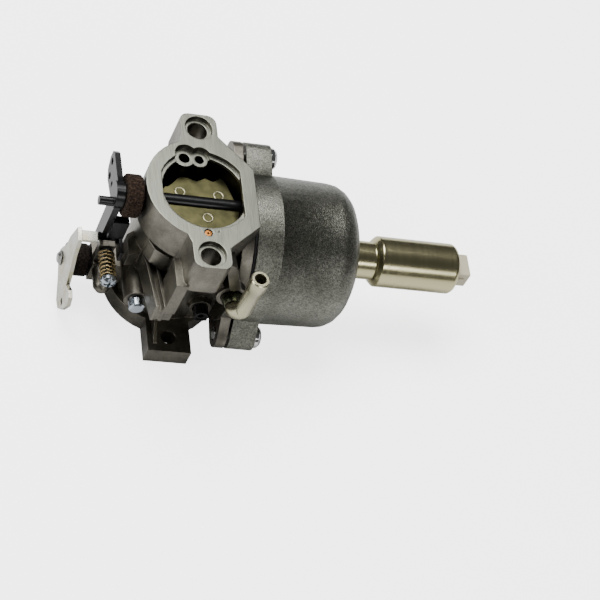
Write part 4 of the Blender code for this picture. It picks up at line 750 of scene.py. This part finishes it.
bored("solenoid_can", "solenoid_case", 0, can_outline, 0.35, solenoid_zinc, steps=128)
bored("sealing_washer", "solenoid_washer", 0, ring_outline(9.2, 6.5), 0.25, bright_screw)
bored("throttle_foam", "throttle_foam_seal", 0, ring_outline(8.0, 2.8), 1.0, brown_foam, steps=120)
bored("choke_foam", "choke_foam_seal", 0, ring_outline(6.3, 2.5), 0.9, dark_foam, steps=120)

# %% [markdown]
# ## Staking marks on the throttle plate
#
# Three shallow rings show where a punch staked the plate. Each is a turned ring, a quarter of a
# millimetre high, that turns with the plate.

# %% Raise the staking marks
PLATE_FACE_Z = 55.95
for number, (x, y) in enumerate([(-7.1, 3.9), (7.8, 3.9), (2.7, -6.7)], 1):
    outline = rounded([(-0.1, 1.45), (-0.1, 2.1), (0.25, 1.95), (0.25, 1.6)], 0.1)
    foot = np.array([x, y, PLATE_FACE_Z]) * MM
    mark = turned(f"staking_mark_{number}", outline * MM, (0, 0, 1), foot, steps=48)
    mark.data.materials.append(tube_zinc)
    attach(mark, node_body["throttle_plate"])

# %% [markdown]
# ## The idle speed screw's spring
#
# Spring wire runs in a helix. Its two end coils lie flat, so that the spring stands square against
# the screw's head and the lug: the pitch is small at both ends and full in between.

# %% Coil the spring
def coil_path(low, high, coil_radius, wire, turns):
    """Angle w grows evenly; the height blends p with 3p^2 - 2p^3, p being the share done."""
    p = np.linspace(0, 1, 60 * turns)
    w = 2 * np.pi * turns * p
    height = wire + (high[1] - low[1] - 2 * wire) * (0.75 * p + 0.25 * (3 * p**2 - 2 * p**3))
    centre = (low + high) / 2
    return np.stack(
        [centre[0] + coil_radius * np.cos(w), low[1] + height, centre[2] + coil_radius * np.sin(w)],
        axis=1,
    )


low, high = box_mm("idle_speed_spring")
wire_radius = 0.46
coil_radius = (high[0] - low[0]) / 2 - wire_radius
path = coil_path(low, high, coil_radius, wire_radius, 7)
share = np.linspace(0, 1, len(path))
taper = np.minimum(1, 40 * np.minimum(share, share[::-1]))
spring = tube("idle_spring", path * MM, wire_radius * MM * np.sqrt(taper), steps=14)
dress(spring, "idle_speed_spring", spring_bronze)
print("spring coil radius:", round(coil_radius, 2), "mm")

# %% [markdown]
# ## Pieces inside the carburettor
#
# The jets, the float and the needle are hidden by the castings, so they keep the solid shape.

# %% Give the inner pieces their finish
HIDDEN = {
    "main_nozzle": brass,
    "main_jet": brass,
    "pilot_jet": brass,
    "needle_seat": brass,
    "needle_valve": plain_steel,
    "float_hinge_pin": plain_steel,
    "float": float_plastic,
    "solenoid_plunger": plain_steel,
    "solenoid_spring": plain_steel,
    "idle_mixture_spring": plain_steel,
    "choke_plate_screw_1": screw_zinc,
    "choke_plate_screw_2": screw_zinc,
}
for node, finish in HIDDEN.items():
    part = frame["nodes"][node]
    part.data.materials.clear()
    part.data.materials.append(finish)
print("pieces dressed:", len(COPIES) + len(HIDDEN))

# %% [markdown]
# ## Table and light
#
# A pale table and large soft lights suit polished parts: metal shows what stands round it, so
# wide white panels give wide, quiet reflections, and the darker gaps between them draw the form.
# A white sweep in a studio is lit by lamps of its own until it is nearly blank. Here the table
# glows a little to the camera alone, so the metal doesn't mirror that extra light.

# %% Build the table and the lights
def table_top():
    mesh = bpy.data.meshes.new("table")
    reach = 3.0
    corners = [(-reach, -reach, 0), (reach, -reach, 0), (reach, reach, 0), (-reach, reach, 0)]
    mesh.from_pydata([(x, y, -0.1 * MM) for x, y, _ in corners], [], [(0, 1, 2, 3)])
    made = bpy.data.objects.new("table", mesh)
    bpy.context.scene.collection.objects.link(made)
    finish, tree, shader, _ = start_material("table", (0.86, 0.86, 0.86), 0.7, 0.0)
    seen = wire(tree, "ShaderNodeLightPath").outputs["Is Camera Ray"]
    tree.links.new(seen, shader.inputs["Emission Color"])
    shader.inputs["Emission Strength"].default_value = 2.8
    mesh.materials.append(finish)
    made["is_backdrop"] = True


def soft_light(name, place, size, power, target=(0.03, 0, 0.03), colour=(1, 1, 1)):
    lamp = bpy.data.lights.new(name, "AREA")
    lamp.shape = "RECTANGLE"
    lamp.size, lamp.size_y = size
    lamp.energy = power
    lamp.color = colour
    made = bpy.data.objects.new(name, lamp)
    made.location = place
    away = Vector(place) - Vector(target)
    made.rotation_euler = away.to_track_quat("Z", "Y").to_euler()
    bpy.context.scene.collection.objects.link(made)


table_top()
soft_light("overhead panel", (-0.25, 0.62, 1.55), (1.3, 0.9), 52.0)
soft_light("left panel", (-1.30, -0.25, 0.75), (0.5, 0.9), 12.0)
soft_light("front panel", (0.35, -1.50, 0.95), (0.9, 0.4), 9.0)

world = bpy.data.worlds.new("studio")
world.use_nodes = True
world.node_tree.nodes["Background"].inputs["Color"].default_value = (1, 1, 1, 1)
world.node_tree.nodes["Background"].inputs["Strength"].default_value = 0.09
bpy.context.scene.world = world

# %% [markdown]
# ## The size of the finished pieces
#
# The box round the finished pieces is found.

# %% Find the box round the pieces
low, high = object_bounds()
